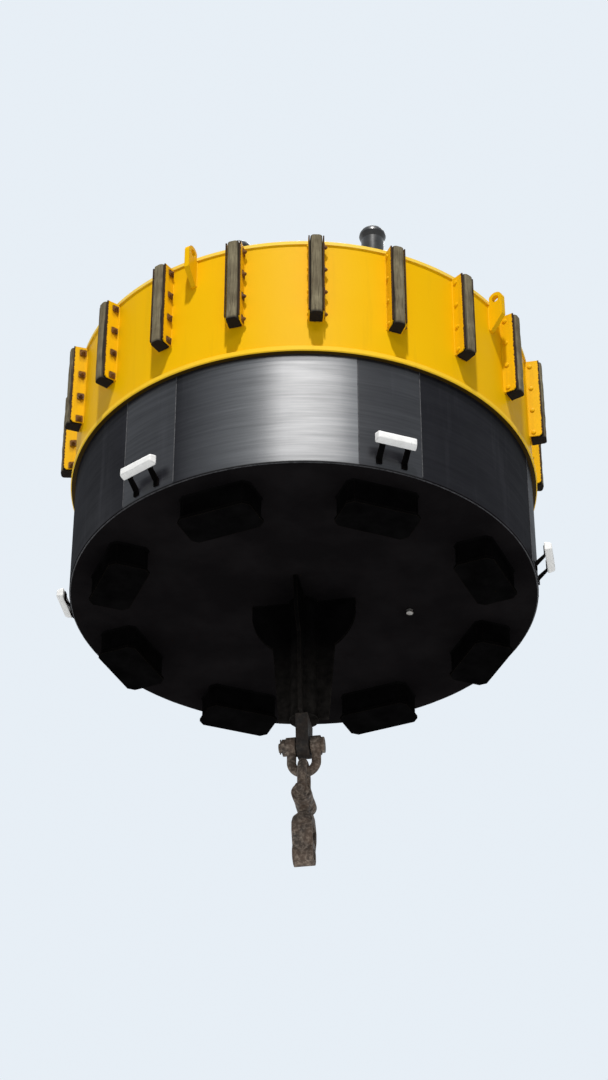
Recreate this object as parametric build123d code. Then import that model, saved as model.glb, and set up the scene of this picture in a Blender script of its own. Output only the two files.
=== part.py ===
from build123d import *
from math import cos, radians, sin
import os

# Drum-shaped steel mooring buoy, in millimetres.
# The origin is on the hull's axis at the waterline, where the yellow band meets the black shell.
# +Z is up. Bearings are in degrees, seen from above: bearing 0 faces -Y and bearing 90 faces +X.

# Hull
hull_radius = 1800
hull_draft = 1000
freeboard = 1050
band_step = 15
bilge_chamfer = 18
rim_width = 60
rim_height = 40
rim_proud = 10
rim_chamfer = 10
deck_edge_thickness = 16
deck_camber = 44

# Ring flange between the two shells, which stands out as a lip round the waterline
lip_proud = 25
lip_height = 50
lip_seat = 75
lip_chamfer = 8
lip_gap = 0.5

# Fenders: a steel channel on the yellow band holds a timber strip with a rounded face
fender_count = 19
first_fender_bearing = 4.3
fender_width = 120
fender_cheek = 10
fender_back = 12
fender_depth = 110
fender_foot_height = 300
cheek_corner = 30
strip_side_gap = 1
strip_proud = 22
strip_end_proud = 14
strip_round = 34

# Feet under the bottom
foot_count = 8
first_foot_bearing = 22.5
foot_height = 210
foot_width = 580
foot_length = 320
foot_inset = 160
foot_corner = 45
sole_thickness = 24
sole_proud = 16

# Drain plug in the bottom
plug_bearing = 98
plug_ring_radius = 820
plug_radius = 26
plug_depth = 26

# Anodes on the black shell
anode_count = 6
first_anode_bearing = 22
anode_height_above_bottom = 215
anode_length = 320
anode_height = 86
anode_thickness = 58
anode_standoff = 72
anode_slope = 12
strap_width = 44
strap_thickness = 8
strap_inset = 62
strap_drop = 120

# Pedestal under the bottom
pedestal_bearing = -8
pedestal_length = 1050
pedestal_tube_radius = 105
gusset_count = 4
gusset_thickness = 28
gusset_top_radius = 400
gusset_toe = 120
gusset_waist_radius = 238
gusset_waist_drop = 400
gusset_sweep_radius = 420
gusset_foot_radius = 188
padeye_thickness = 92
padeye_nose_radius = 96
padeye_shoulder = 118
padeye_drop = 222

# Shackles: both are forged from the same round bar
bar_diameter = 70
shackle_jaw = 116
shackle_boss_radius = 74
shackle_pin_radius = 40
pin_gap = 0.5
crown_gap = 0.5
pin_head_radius = 60
pin_head_thickness = 26
pin_nut_radius = 64
pin_nut_thickness = 34
upper_shackle_reach = 190
lower_shackle_reach = 265

# Swivel
swivel_eye_thickness = 100
swivel_eye_radius = 72
swivel_shank_radius = 42
swivel_neck_length = 150
swivel_collar_radius = 130
swivel_collar_height = 84
swivel_head_radius = 66
swivel_head_height = 52
swivel_window_width = 158
swivel_window_height = 128
swivel_bow_thickness = 150
swivel_lower_eye_drop = 92
swivel_lower_eye_radius = 80
swivel_lower_hole_radius = 42
shank_gap = 0.5

# Lifting lugs on the band: their holes look over the fenders' tops, so that a pin goes in from the side
lug_bearings = (-25.7, 54.3, 146.4, 241.1)
lug_thickness = 40
lug_drop = 260
lug_hole_radius = 30
lug_hole_clear = 6
lug_wall = 26
lug_nose_radius = 62
lug_heel = 20

# Manhole in the deck
manhole_bearing = 270
manhole_inset = 735
manhole_radius = 300
manhole_coaming_height = 110
manhole_wall = 16
manhole_flange = 44
manhole_cover_thickness = 20

# Bollards on the deck
inner_bollard_inset = 395
outer_bollard_inset = 225
bollard_table = (  # bearing, distance in from the deck's edge
    (-20.3, inner_bollard_inset),
    (21.9, outer_bollard_inset),
    (159.7, inner_bollard_inset),
    (201.9, outer_bollard_inset),
)
bollard_height = 505
bollard_post_radius = 88
bollard_cap_radius = 104
bollard_cap_height = 130
bollard_dome_height = 84
bollard_dome_steps = 6
bollard_foot_radius = 150
bollard_foot_thickness = 20

# Mooring hook on the deck
hook_bearing = 62
base_flange_radius = 420
base_flange_thickness = 40
base_drum_radius = 250
base_drum_height = 150
base_rib_count = 8
base_rib_thickness = 16
base_rib_reach = 140
base_rib_height = 118
base_rib_toe = 18
turntable_radius = 300
turntable_thickness = 50
turn_gap = 0.5
spigot_radius = 90
spigot_depth = 90
cheek_thickness = 36
cheek_gap = 140
cheek_foot_inset = 30
cheek_dip_x = -60
cheek_dip_height = 245
cheek_hook_boss = 108
cheek_release_boss = 62
hook_pivot_x = 235
hook_pivot_height = 150
hook_pin_radius = 35
hook_pin_overhang = 30
hook_thickness = 124
hook_boss_radius = 82
hook_tail_reach = 330
hook_tail_tip = 318
hook_tail_top = 45
hook_tail_low = -12
horn_centre_x = -70
horn_centre_height = 208
horn_inner_radius = 116
horn_outer_radius = 200
horn_root_angle = -62
horn_tip_angle = 52
pawl_gap = 8
pawl_low = -130
pawl_high = -70
pawl_back = -34
release_pivot_x = -175
release_pivot_height = 265
release_pin_radius = 25
release_pin_overhang = 25
lever_thickness = 62
lever_boss_radius = 52
lever_rise = 150
lever_length = 300
lever_tip_width = 46
grip_radius = 21
grip_length = 170
grip_chamfer = 8

# Worked out from the sizes above
band_radius = hull_radius + band_step
bottom_z = -hull_draft
deck_edge_z = freeboard + deck_edge_thickness
deck_top_z = freeboard + deck_edge_thickness + deck_camber
rim_top_z = freeboard + rim_height
rim_radius = band_radius + rim_proud
deck_radius = band_radius - rim_width
lip_radius = band_radius + lip_proud
lip_inner_radius = hull_radius - lip_seat
foot_middle_radius = hull_radius - foot_inset - foot_length / 2
manhole_ring_radius = deck_radius - manhole_inset
bar_radius = bar_diameter / 2
crown_radius = shackle_jaw / 2 + bar_radius
pedestal_end_z = bottom_z - pedestal_length
upper_pin_z = pedestal_end_z - padeye_drop
lower_crown_z = upper_pin_z - upper_shackle_reach + bar_radius + crown_gap
lower_pin_z = lower_crown_z - bar_radius - lower_shackle_reach
collar_top_z = lower_pin_z - swivel_neck_length
collar_bottom_z = collar_top_z - swivel_collar_height
window_bottom_z = collar_bottom_z - swivel_window_height
lower_eye_z = window_bottom_z - swivel_lower_eye_drop
base_top_z = deck_top_z + base_flange_thickness + base_drum_height
turntable_top_z = base_top_z + turn_gap + turntable_thickness
cheek_y = cheek_gap / 2
cheek_foot = turntable_radius - cheek_foot_inset


def at_bearing(piece, bearing):
    """Turns a piece built along +X, with +X outwards, to a bearing."""
    return Rot(0, 0, bearing - 90) * piece


def ring_of(piece, count, first_bearing):
    return [at_bearing(piece, first_bearing + 360 * i / count) for i in range(count)]


def lathe(points):
    """Revolves an outline of (radius, z) points about the hull's axis."""
    return revolve(Plane.XZ * make_face(Polyline(*points, close=True)), Axis.Z)


def plate(points, thickness):
    """A plate in the XZ plane, centred on it, from (x, z) points."""
    return slab(make_face(Polyline(*points, close=True)), thickness)


def slab(face, thickness):
    """A plate in the XZ plane, centred on it, from a flat shape drawn with x and z."""
    return extrude(Plane.XZ * face, thickness / 2, both=True)


def disc(radius, x, z):
    return Pos(x, z) * Circle(radius)


def rod_x(radius, x_low, x_high, z=0):
    """A round bar along X."""
    length = x_high - x_low
    return Pos((x_low + x_high) / 2, 0, z) * Rot(0, 90, 0) * Cylinder(radius, length)


def rod_y(radius, length, x=0, z=0):
    """A round bar along Y, centred on the XZ plane."""
    return Pos(x, 0, z) * Rot(90, 0, 0) * Cylinder(radius, length)


def lower_shell():
    drum = Pos(0, 0, bottom_z / 2) * Cylinder(hull_radius, hull_draft)
    bottom_edge = drum.edges().sort_by(Axis.Z)[0]
    return chamfer(bottom_edge, bilge_chamfer)


def band_lip():
    """The ring flange: it lies on the lower shell, in a rebate under the upper one."""
    ring = lathe(
        [
            (lip_inner_radius, 0),
            (lip_radius, 0),
            (lip_radius, lip_height),
            (lip_inner_radius, lip_height),
        ]
    )
    outer_edges = ring.edges().filter_by(GeomType.CIRCLE).filter_by(lambda e: e.radius > band_radius)
    return chamfer(outer_edges, lip_chamfer)


def upper_shell():
    return lathe(
        [
            (0, 0),
            (lip_inner_radius - lip_gap, 0),
            (lip_inner_radius - lip_gap, lip_height),
            (band_radius, lip_height),
            (band_radius, freeboard),
            (0, freeboard),
        ]
    )


def rim_ring():
    ring = lathe(
        [
            (deck_radius, freeboard),
            (rim_radius, freeboard),
            (rim_radius, rim_top_z),
            (deck_radius, rim_top_z),
        ]
    )
    top_edges = ring.edges().filter_by(GeomType.CIRCLE).group_by(Axis.Z)[-1]
    return chamfer(top_edges, rim_chamfer)


def deck_plate():
    return lathe(
        [
            (0, freeboard),
            (deck_radius, freeboard),
            (deck_radius, deck_edge_z),
            (base_flange_radius, deck_top_z),
            (0, deck_top_z),
        ]
    )


def fender_bracket():
    """A channel that opens outwards: a back plate on the band and two cheeks with cut lower corners."""
    outer = band_radius + fender_depth
    cheek_side = [
        (hull_radius, fender_foot_height),
        (outer - cheek_corner, fender_foot_height),
        (outer, fender_foot_height + cheek_corner),
        (outer, freeboard),
        (hull_radius, freeboard),
    ]
    hollow = Pos(band_radius + fender_back, 0, 0) * Box(
        2 * fender_depth,
        fender_width - 2 * fender_cheek,
        4 * freeboard,
        align=(Align.MIN, Align.CENTER, Align.CENTER),
    )
    return plate(cheek_side, fender_width) - hollow - Cylinder(band_radius, 4 * freeboard)


def fender_strip():
    width = fender_width - 2 * fender_cheek - 2 * strip_side_gap
    depth = fender_depth - fender_back + strip_proud
    low_z = fender_foot_height - strip_end_proud
    strip = Pos(band_radius + fender_back, 0, low_z) * Box(
        depth, width, freeboard - low_z, align=(Align.MIN, Align.CENTER, Align.MIN)
    )
    face_edges = strip.edges().filter_by(Axis.Z).group_by(Axis.X)[-1]
    return fillet(face_edges, strip_round)


def foot():
    """A box foot with cut corners and a thicker sole plate that stands out all round."""
    sole = chamfer(Rectangle(foot_length, foot_width).vertices(), foot_corner)
    block = Rectangle(foot_length - 2 * sole_proud, foot_width - 2 * sole_proud)
    block = chamfer(block.vertices(), foot_corner - sole_proud / 2)
    sole_top = bottom_z - foot_height + sole_thickness
    upper = extrude(Pos(0, 0, bottom_z) * block, foot_height - sole_thickness, dir=(0, 0, -1))
    lower = extrude(Pos(0, 0, sole_top) * sole, sole_thickness, dir=(0, 0, -1))
    return Pos(foot_middle_radius, 0, 0) * (upper + lower)


def plug():
    return Pos(plug_ring_radius, 0, bottom_z - plug_depth / 2) * Cylinder(plug_radius, plug_depth)


anode_z = bottom_z + anode_height_above_bottom
anode_face_x = hull_radius + anode_standoff


def anode_bar():
    section = Polyline(
        (anode_face_x, anode_z - anode_height / 2),
        (anode_face_x + anode_thickness, anode_z - anode_height / 2 + anode_slope),
        (anode_face_x + anode_thickness, anode_z + anode_height / 2 - anode_slope),
        (anode_face_x, anode_z + anode_height / 2),
        close=True,
    )
    bar = extrude(Plane.XZ * make_face(section), anode_length / 2, both=True)
    ends = bar.edges().filter_by(Axis.Z).group_by(Axis.X)[-1]
    return chamfer(ends, anode_slope)


def anode_strap(offset):
    """A flat bar behind the anode, bent back to the shell at its foot, beside the anode's middle."""
    inner = hull_radius - 2 * strap_thickness
    low = anode_z - strap_drop
    high = anode_z + anode_height / 2 - anode_slope
    outline = [
        (anode_face_x - strap_thickness, high),
        (anode_face_x, high),
        (anode_face_x, low + anode_standoff),
        (hull_radius + strap_thickness, low),
        (hull_radius + strap_thickness, low - strap_width),
        (inner, low - strap_width),
        (inner, low),
        (anode_face_x - strap_thickness, low + anode_standoff),
    ]
    return Pos(0, offset, 0) * plate(outline, strap_width) - Cylinder(hull_radius, 4 * hull_draft)


def pedestal_tube():
    return Pos(0, 0, (bottom_z + pedestal_end_z) / 2) * Cylinder(pedestal_tube_radius, pedestal_length)


def gusset():
    """A plate that sweeps in from the bottom to a waist and runs down beside the tube."""
    toe = (gusset_top_radius, bottom_z - gusset_toe)
    waist = (gusset_waist_radius, bottom_z - gusset_waist_drop)
    end = (gusset_foot_radius, pedestal_end_z)
    outline = (
        Polyline(end, (0, pedestal_end_z), (0, bottom_z), (gusset_top_radius, bottom_z), toe)
        + RadiusArc(toe, waist, gusset_sweep_radius)
        + Line(waist, end)
    )
    return slab(make_face(outline), gusset_thickness) - Cylinder(pedestal_tube_radius, 8 * hull_draft)


def padeye():
    """The thick eye plate under the pedestal, built with its hole along Y."""
    outline = [
        (-padeye_shoulder, pedestal_end_z),
        (padeye_shoulder, pedestal_end_z),
        (padeye_nose_radius, upper_pin_z),
        (-padeye_nose_radius, upper_pin_z),
    ]
    nose = rod_y(padeye_nose_radius, padeye_thickness, z=upper_pin_z)
    hole = rod_y(shackle_pin_radius + pin_gap, 2 * padeye_thickness, z=upper_pin_z)
    return plate(outline, padeye_thickness) + nose - hole


def shackle_body(reach):
    """A shackle with its pin along X through the origin and its crown towards -Z."""
    centre_z = -(reach - shackle_jaw / 2)
    path = (
        Line((crown_radius, 0, 0), (crown_radius, 0, centre_z))
        + ThreePointArc(
            (crown_radius, 0, centre_z),
            (0, 0, centre_z - crown_radius),
            (-crown_radius, 0, centre_z),
        )
        + Line((-crown_radius, 0, centre_z), (-crown_radius, 0, 0))
    )
    bow = sweep(Pos(crown_radius, 0, 0) * Circle(bar_radius), path=path)
    inside = shackle_jaw / 2
    outside = inside + bar_diameter
    body = bow + rod_x(shackle_boss_radius, inside, outside) + rod_x(shackle_boss_radius, -outside, -inside)
    return body - rod_x(shackle_pin_radius, -2 * outside, 2 * outside)


def shackle_pin():
    """The pin along X: a round head at one end and a hexagon nut at the other."""
    outside = shackle_jaw / 2 + bar_diameter
    pin = rod_x(shackle_pin_radius, -outside - pin_nut_thickness, outside)
    head = rod_x(pin_head_radius, outside, outside + pin_head_thickness)
    nut_face = Plane.YZ.offset(-outside - pin_nut_thickness) * RegularPolygon(pin_nut_radius, 6)
    return pin + head + extrude(nut_face, pin_nut_thickness)


def swivel_eye():
    """The swivel's upper piece: an eye with its hole along Y, a neck, a shank and a head."""
    eye = rod_y(swivel_eye_radius, swivel_eye_thickness, z=lower_pin_z)
    head_top = collar_bottom_z - shank_gap
    head_low = head_top - swivel_head_height
    neck_low = collar_top_z + shank_gap
    stem = lathe(
        [
            (0, lower_pin_z - swivel_shank_radius),
            (swivel_shank_radius, lower_pin_z - swivel_shank_radius),
            (swivel_shank_radius, neck_low + swivel_shank_radius),
            (swivel_head_radius, neck_low + bar_radius / 2),
            (swivel_head_radius, neck_low),
            (swivel_shank_radius, neck_low),
            (swivel_shank_radius, head_top),
            (swivel_head_radius, head_top),
            (swivel_head_radius, head_low),
            (0, head_low),
        ]
    )
    hole = rod_y(shackle_pin_radius + pin_gap, 2 * swivel_eye_thickness, z=lower_pin_z)
    return eye + stem - hole


def swivel_bow():
    """The swivel's lower piece: a collar, two arms round the window and an eye with its hole along Y."""
    bulb = lathe(
        [
            (0, collar_top_z),
            (swivel_head_radius + bar_radius / 2, collar_top_z),
            (swivel_collar_radius, collar_bottom_z),
            (swivel_collar_radius, collar_bottom_z - swivel_window_height / 2),
            (swivel_lower_eye_radius, lower_eye_z),
            (0, lower_eye_z),
        ]
    )
    slab = Pos(0, 0, (collar_top_z + lower_eye_z) / 2) * Box(
        4 * swivel_collar_radius, swivel_bow_thickness, collar_top_z - lower_eye_z
    )
    nose = rod_y(swivel_lower_eye_radius, swivel_bow_thickness, z=lower_eye_z)
    window = Pos(0, 0, (collar_bottom_z + window_bottom_z) / 2) * Box(
        swivel_window_width, 2 * swivel_bow_thickness, swivel_window_height
    )
    low_corners = window.edges().filter_by(Axis.Y).group_by(Axis.Z)[0]
    window = fillet(low_corners, swivel_window_height / 4)
    bore = Pos(0, 0, collar_bottom_z) * Cylinder(swivel_shank_radius + shank_gap, 2 * swivel_collar_height)
    hole = rod_y(swivel_lower_hole_radius, 2 * swivel_bow_thickness, z=lower_eye_z)
    return (bulb & slab) + nose - window - bore - hole


def lifting_lug():
    """A plate on the band with an eye at its upper end, outside the rim and above the fenders' tops."""
    hole_x = rim_radius + lug_wall + lug_hole_radius
    hole_z = freeboard + lug_hole_radius + lug_hole_clear
    low_z = freeboard - lug_drop
    outer = hole_x + lug_nose_radius
    outline = [
        (hull_radius, low_z),
        (band_radius + lug_heel, low_z),
        (outer, low_z + outer - band_radius),
        (outer, hole_z),
        (hull_radius, hole_z),
    ]
    nose = rod_y(lug_nose_radius, lug_thickness, x=hole_x, z=hole_z)
    hole = rod_y(lug_hole_radius, 2 * lug_thickness, x=hole_x, z=hole_z)
    band = Cylinder(band_radius, 4 * freeboard)
    rim = Pos(0, 0, freeboard) * Cylinder(rim_radius, freeboard, align=(Align.CENTER, Align.CENTER, Align.MIN))
    return plate(outline, lug_thickness) + nose - band - rim - hole


def deck_height_at(radius):
    """Height of the cambered deck's top at a distance from the hull's axis."""
    run = deck_radius - base_flange_radius
    return deck_edge_z + deck_camber * min(1, (deck_radius - radius) / run)


manhole_top_z = deck_height_at(manhole_ring_radius) + manhole_coaming_height


def manhole_coaming():
    outer = manhole_radius + manhole_wall
    flange = outer + manhole_flange
    ring = lathe(
        [
            (manhole_radius, freeboard),
            (outer, freeboard),
            (outer, manhole_top_z - manhole_wall),
            (flange, manhole_top_z - manhole_wall),
            (flange, manhole_top_z),
            (manhole_radius, manhole_top_z),
        ]
    )
    return Pos(manhole_ring_radius, 0, 0) * ring - deck_plate()


def manhole_cover():
    radius = manhole_radius + manhole_wall + manhole_flange
    middle = manhole_top_z + manhole_cover_thickness / 2
    return Pos(manhole_ring_radius, 0, middle) * Cylinder(radius, manhole_cover_thickness)


def bollard(inset):
    """A post with a round foot plate and a domed cap, cut to the deck's camber below."""
    radius = deck_radius - inset
    top = freeboard + bollard_height
    foot_top = deck_height_at(radius) + bollard_foot_thickness
    dome_z = top - bollard_dome_height
    outline = [
        (0, freeboard),
        (bollard_foot_radius, freeboard),
        (bollard_foot_radius, foot_top),
        (bollard_post_radius, foot_top),
        (bollard_post_radius, top - bollard_cap_height),
    ]
    for i in range(bollard_dome_steps + 1):
        angle = radians(90 * i / bollard_dome_steps)
        outline.append((bollard_cap_radius * cos(angle), dome_z + bollard_dome_height * sin(angle)))
    return Pos(radius, 0, 0) * lathe(outline) - deck_plate()


def hook_base():
    flange_top = deck_top_z + base_flange_thickness
    drum = lathe(
        [
            (0, deck_top_z),
            (base_flange_radius, deck_top_z),
            (base_flange_radius, flange_top),
            (base_drum_radius, flange_top),
            (base_drum_radius, base_top_z),
            (0, base_top_z),
        ]
    )
    socket = Pos(0, 0, base_top_z) * Cylinder(spigot_radius + turn_gap, 2 * (spigot_depth + turn_gap))
    return drum - socket


def hook_turntable():
    table = Pos(0, 0, base_top_z + turn_gap) * Cylinder(
        turntable_radius, turntable_thickness, align=(Align.CENTER, Align.CENTER, Align.MIN)
    )
    spigot = Pos(0, 0, base_top_z + turn_gap) * Cylinder(
        spigot_radius, spigot_depth, align=(Align.CENTER, Align.CENTER, Align.MAX)
    )
    return table + spigot


hook_pivot_z = turntable_top_z + hook_pivot_height
release_pivot_z = turntable_top_z + release_pivot_height


def cheek_shape():
    """A cheek plate's outline: it stands on the turntable and is round about both pins."""
    outline = Polyline(
        (-cheek_foot, turntable_top_z),
        (cheek_foot, turntable_top_z),
        (hook_pivot_x + cheek_hook_boss, hook_pivot_z),
        (hook_pivot_x, hook_pivot_z + cheek_hook_boss),
        (cheek_dip_x, turntable_top_z + cheek_dip_height),
        (release_pivot_x, release_pivot_z + cheek_release_boss),
        (release_pivot_x - cheek_release_boss, release_pivot_z),
        close=True,
    )
    bosses = disc(cheek_hook_boss, hook_pivot_x, hook_pivot_z)
    return make_face(outline) + bosses + disc(cheek_release_boss, release_pivot_x, release_pivot_z)


def cheeks():
    one = slab(cheek_shape(), cheek_thickness)
    one = one - rod_y(hook_pin_radius, 2 * cheek_thickness, x=hook_pivot_x, z=hook_pivot_z)
    one = one - rod_y(release_pin_radius, 2 * cheek_thickness, x=release_pivot_x, z=release_pivot_z)
    offset = cheek_y + cheek_thickness / 2
    return [Pos(0, offset, 0) * one, Pos(0, -offset, 0) * one]


def horn():
    """The hook's horn: a crescent about the rope's place, with a round tip, drawn from the pivot."""
    centre = (horn_centre_x, horn_centre_height)
    sweep_angle = horn_tip_angle - horn_root_angle
    outer = CenterArc(centre, horn_outer_radius, horn_root_angle, sweep_angle)
    inner = CenterArc(centre, horn_inner_radius, horn_root_angle, sweep_angle)
    crescent = make_face(outer + Line(outer @ 1, inner @ 1) + inner + Line(inner @ 0, outer @ 0))
    middle = (horn_outer_radius + horn_inner_radius) / 2
    tip_x = horn_centre_x + middle * cos(radians(horn_tip_angle))
    tip_z = horn_centre_height + middle * sin(radians(horn_tip_angle))
    return crescent + disc((horn_outer_radius - horn_inner_radius) / 2, tip_x, tip_z)


def hook_arm():
    """The hook: a tail under the latch, a boss on its pivot and a horn that curls up and back."""
    tail = Polyline(
        (0, hook_boss_radius),
        (-hook_tail_tip, hook_tail_top),
        (-hook_tail_tip, hook_tail_low),
        (0, -hook_boss_radius),
        close=True,
    )
    shape = make_face(tail) + disc(hook_boss_radius, 0, 0) + horn()
    body = slab(Pos(hook_pivot_x, hook_pivot_z) * shape, hook_thickness)
    return body - rod_y(hook_pin_radius + pin_gap, 2 * hook_thickness, x=hook_pivot_x, z=hook_pivot_z)


def hook_pin():
    length = cheek_gap + 2 * cheek_thickness + 2 * hook_pin_overhang
    return rod_y(hook_pin_radius, length, x=hook_pivot_x, z=hook_pivot_z)


def release_lever():
    """The lever on its pin: a pawl that hangs behind the hook's tail, an arm and a round grip."""
    pawl_x = hook_pivot_x - hook_tail_reach - pawl_gap - release_pivot_x
    pawl = Polyline(
        (pawl_back, pawl_low),
        (pawl_x, pawl_low),
        (pawl_x, pawl_high),
        (lever_boss_radius, 0),
        (-lever_boss_radius, 0),
        close=True,
    )
    arm = Polyline(
        (0, -lever_boss_radius),
        (lever_length, -lever_tip_width / 2),
        (lever_length, lever_tip_width / 2),
        (0, lever_boss_radius),
        close=True,
    )
    shape = make_face(pawl) + disc(lever_boss_radius, 0, 0) + Rot(0, 0, lever_rise) * make_face(arm)
    grip = rod_x(grip_radius, 0, grip_length)
    grip = chamfer(grip.edges().filter_by(GeomType.CIRCLE), grip_chamfer)
    grip = Rot(0, -lever_rise, 0) * Pos(lever_length, 0, 0) * grip
    body = Pos(release_pivot_x, 0, release_pivot_z) * (slab(shape, lever_thickness) + grip)
    return body - rod_y(release_pin_radius + pin_gap, 2 * hook_thickness, x=release_pivot_x, z=release_pivot_z)


def release_pin():
    length = cheek_gap + 2 * cheek_thickness + 2 * release_pin_overhang
    return rod_y(release_pin_radius, length, x=release_pivot_x, z=release_pivot_z)


def base_rib():
    """A rib that props the base's drum on its flange."""
    low = deck_top_z + base_flange_thickness
    outline = [
        (0, low),
        (base_drum_radius + base_rib_reach, low),
        (base_drum_radius + base_rib_reach, low + base_rib_toe),
        (base_drum_radius + base_rib_toe, low + base_rib_height),
        (0, low + base_rib_height),
    ]
    return plate(outline, base_rib_thickness) - Cylinder(base_drum_radius, 4 * base_top_z)


def turned(pieces, bearing):
    return [at_bearing(piece, bearing) for piece in pieces]


def upper_shackle_place(piece):
    return Rot(0, 0, pedestal_bearing) * Pos(0, 0, upper_pin_z) * piece


def lower_shackle_place(piece):
    return Rot(0, 0, pedestal_bearing + 90) * Pos(0, 0, lower_pin_z) * Rot(180, 0, 0) * piece


strap_offset = anode_length / 2 - strap_inset

nodes = {
    "lower_shell": [lower_shell()],
    "band_lip": [band_lip()],
    "upper_shell": [upper_shell()],
    "rim_ring": [rim_ring()],
    "deck_plate": [deck_plate()],
    "fender_brackets": ring_of(fender_bracket(), fender_count, first_fender_bearing),
    "fender_strips": ring_of(fender_strip(), fender_count, first_fender_bearing),
    "bottom_feet": ring_of(foot(), foot_count, first_foot_bearing),
    "bottom_plug": turned([plug()], plug_bearing),
    "anode_bars": ring_of(anode_bar(), anode_count, first_anode_bearing),
    "anode_straps": ring_of(anode_strap(strap_offset), anode_count, first_anode_bearing)
    + ring_of(anode_strap(-strap_offset), anode_count, first_anode_bearing),
    "pedestal_tube": [pedestal_tube()],
    "pedestal_gussets": ring_of(gusset(), gusset_count, pedestal_bearing),
    "pedestal_padeye": turned([padeye()], pedestal_bearing),
    "upper_shackle": [upper_shackle_place(shackle_body(upper_shackle_reach))],
    "upper_shackle_pin": [upper_shackle_place(shackle_pin())],
    "lower_shackle": [lower_shackle_place(shackle_body(lower_shackle_reach))],
    "lower_shackle_pin": [lower_shackle_place(shackle_pin())],
    "swivel_eye": [Rot(0, 0, pedestal_bearing) * swivel_eye()],
    "swivel_bow": [Rot(0, 0, pedestal_bearing + 90) * swivel_bow()],
    "lifting_lugs": [at_bearing(lifting_lug(), bearing) for bearing in lug_bearings],
    "manhole_coaming": turned([manhole_coaming()], manhole_bearing),
    "manhole_cover": turned([manhole_cover()], manhole_bearing),
    "bollards": [at_bearing(bollard(inset), bearing) for bearing, inset in bollard_table],
    "hook_base": [hook_base()],
    "hook_base_ribs": ring_of(base_rib(), base_rib_count, hook_bearing),
    "hook_turntable": turned([hook_turntable()], hook_bearing),
    "hook_cheeks": turned(cheeks(), hook_bearing),
    "hook_arm": turned([hook_arm()], hook_bearing),
    "hook_pin": turned([hook_pin()], hook_bearing),
    "release_lever": turned([release_lever()], hook_bearing),
    "release_pin": turned([release_pin()], hook_bearing),
}

os.makedirs("parts", exist_ok=True)
for name, pieces in nodes.items():
    solids = [solid for piece in pieces for solid in piece.solids()]
    shape = solids[0] if len(solids) == 1 else Compound(children=solids)
    shape.label = name
    export_step(shape, f"parts/{name}.step")
    print(name, len(solids), round(sum(solid.volume for solid in solids) / 1e6, 2), "litres")
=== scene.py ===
# %% [markdown]
# A drum-shaped mooring buoy hangs in the air, seen from far below. Its steel parts come in at their
# real size and place, and each keeps the same frame: metres, Z up, the origin on the hull's axis at
# the waterline. Everything that is added here is fitted to those parts, never the other way round.

# %% Load the frame
import math

import bmesh
import bpy
from mathutils import Matrix, Vector


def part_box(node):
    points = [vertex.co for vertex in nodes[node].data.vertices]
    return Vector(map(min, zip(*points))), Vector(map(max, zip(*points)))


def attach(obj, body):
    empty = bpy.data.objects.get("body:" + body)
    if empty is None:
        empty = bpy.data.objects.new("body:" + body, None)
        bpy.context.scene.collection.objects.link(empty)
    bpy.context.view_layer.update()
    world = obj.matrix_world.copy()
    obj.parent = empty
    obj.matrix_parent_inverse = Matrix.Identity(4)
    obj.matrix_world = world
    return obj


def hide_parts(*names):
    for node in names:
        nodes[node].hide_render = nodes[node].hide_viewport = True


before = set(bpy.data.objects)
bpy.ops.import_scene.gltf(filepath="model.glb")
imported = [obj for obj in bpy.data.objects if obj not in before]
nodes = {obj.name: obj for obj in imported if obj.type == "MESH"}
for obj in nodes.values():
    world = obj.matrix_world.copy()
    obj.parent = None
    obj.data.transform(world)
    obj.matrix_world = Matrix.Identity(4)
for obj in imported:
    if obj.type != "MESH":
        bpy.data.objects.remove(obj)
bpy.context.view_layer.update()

scene = bpy.context.scene

# %% [markdown]
# What is added later has to fit the steel parts, so its sizes are read off them wherever a part's box
# gives them. A reading is rounded to a hundredth of a millimetre, which clears the meshes' own noise.

# %% Readings from the frame
def reach_of(name):
    """How far a node that is round about the hull's axis reaches from it."""
    return round(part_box(name)[1].x, 5)


def foot_of(name):
    return round(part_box(name)[0].z, 5)


def top_of(name):
    return round(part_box(name)[1].z, 5)


def level_of(name):
    """The height of a node's middle."""
    return round((foot_of(name) + top_of(name)) / 2, 5)


hull_radius = reach_of("lower_shell")
hull_draft = -foot_of("lower_shell")
band_radius = reach_of("upper_shell")
freeboard = top_of("upper_shell")
print("hull radius", hull_radius, "draft", hull_draft)
print("band radius", band_radius, "freeboard", freeboard)

# %% [markdown]
# The camera stands on the ground, sixteen metres in front of the buoy and twelve below it, and looks
# up. A long lens from the same spot keeps the picture's perspective: moving closer with a short one
# would open up the underside and squeeze the top. It is aimed at a point just under the waterline.

# %% Camera
camera_place = Vector((0.437, -16.444, -12.064))
camera_aim = Vector((0.0, 0.0, -0.40))
camera_lens = 86


def clear_selection():
    bpy.ops.object.select_all(action="DESELECT")


clear_selection()
bpy.ops.object.camera_add(location=camera_place)
camera = bpy.context.object
camera.rotation_euler = (camera_aim - camera_place).to_track_quat("-Z", "Y").to_euler()
camera.data.lens = camera_lens
camera.data.clip_end = 400
scene.camera = camera
print("camera looks up", round(math.degrees(math.asin((camera_aim - camera_place).normalized().z)), 1))

# %% [markdown]
# The floor is where the camera stands, far below the buoy, so in the main view it is out of sight
# and only bounces light up. One pale plane is enough, so wide that its edges are far off from every
# side.

# %% Floor
floor_below_camera = 0.1
floor_size = 300
floor_height = camera_place.z - floor_below_camera

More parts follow.
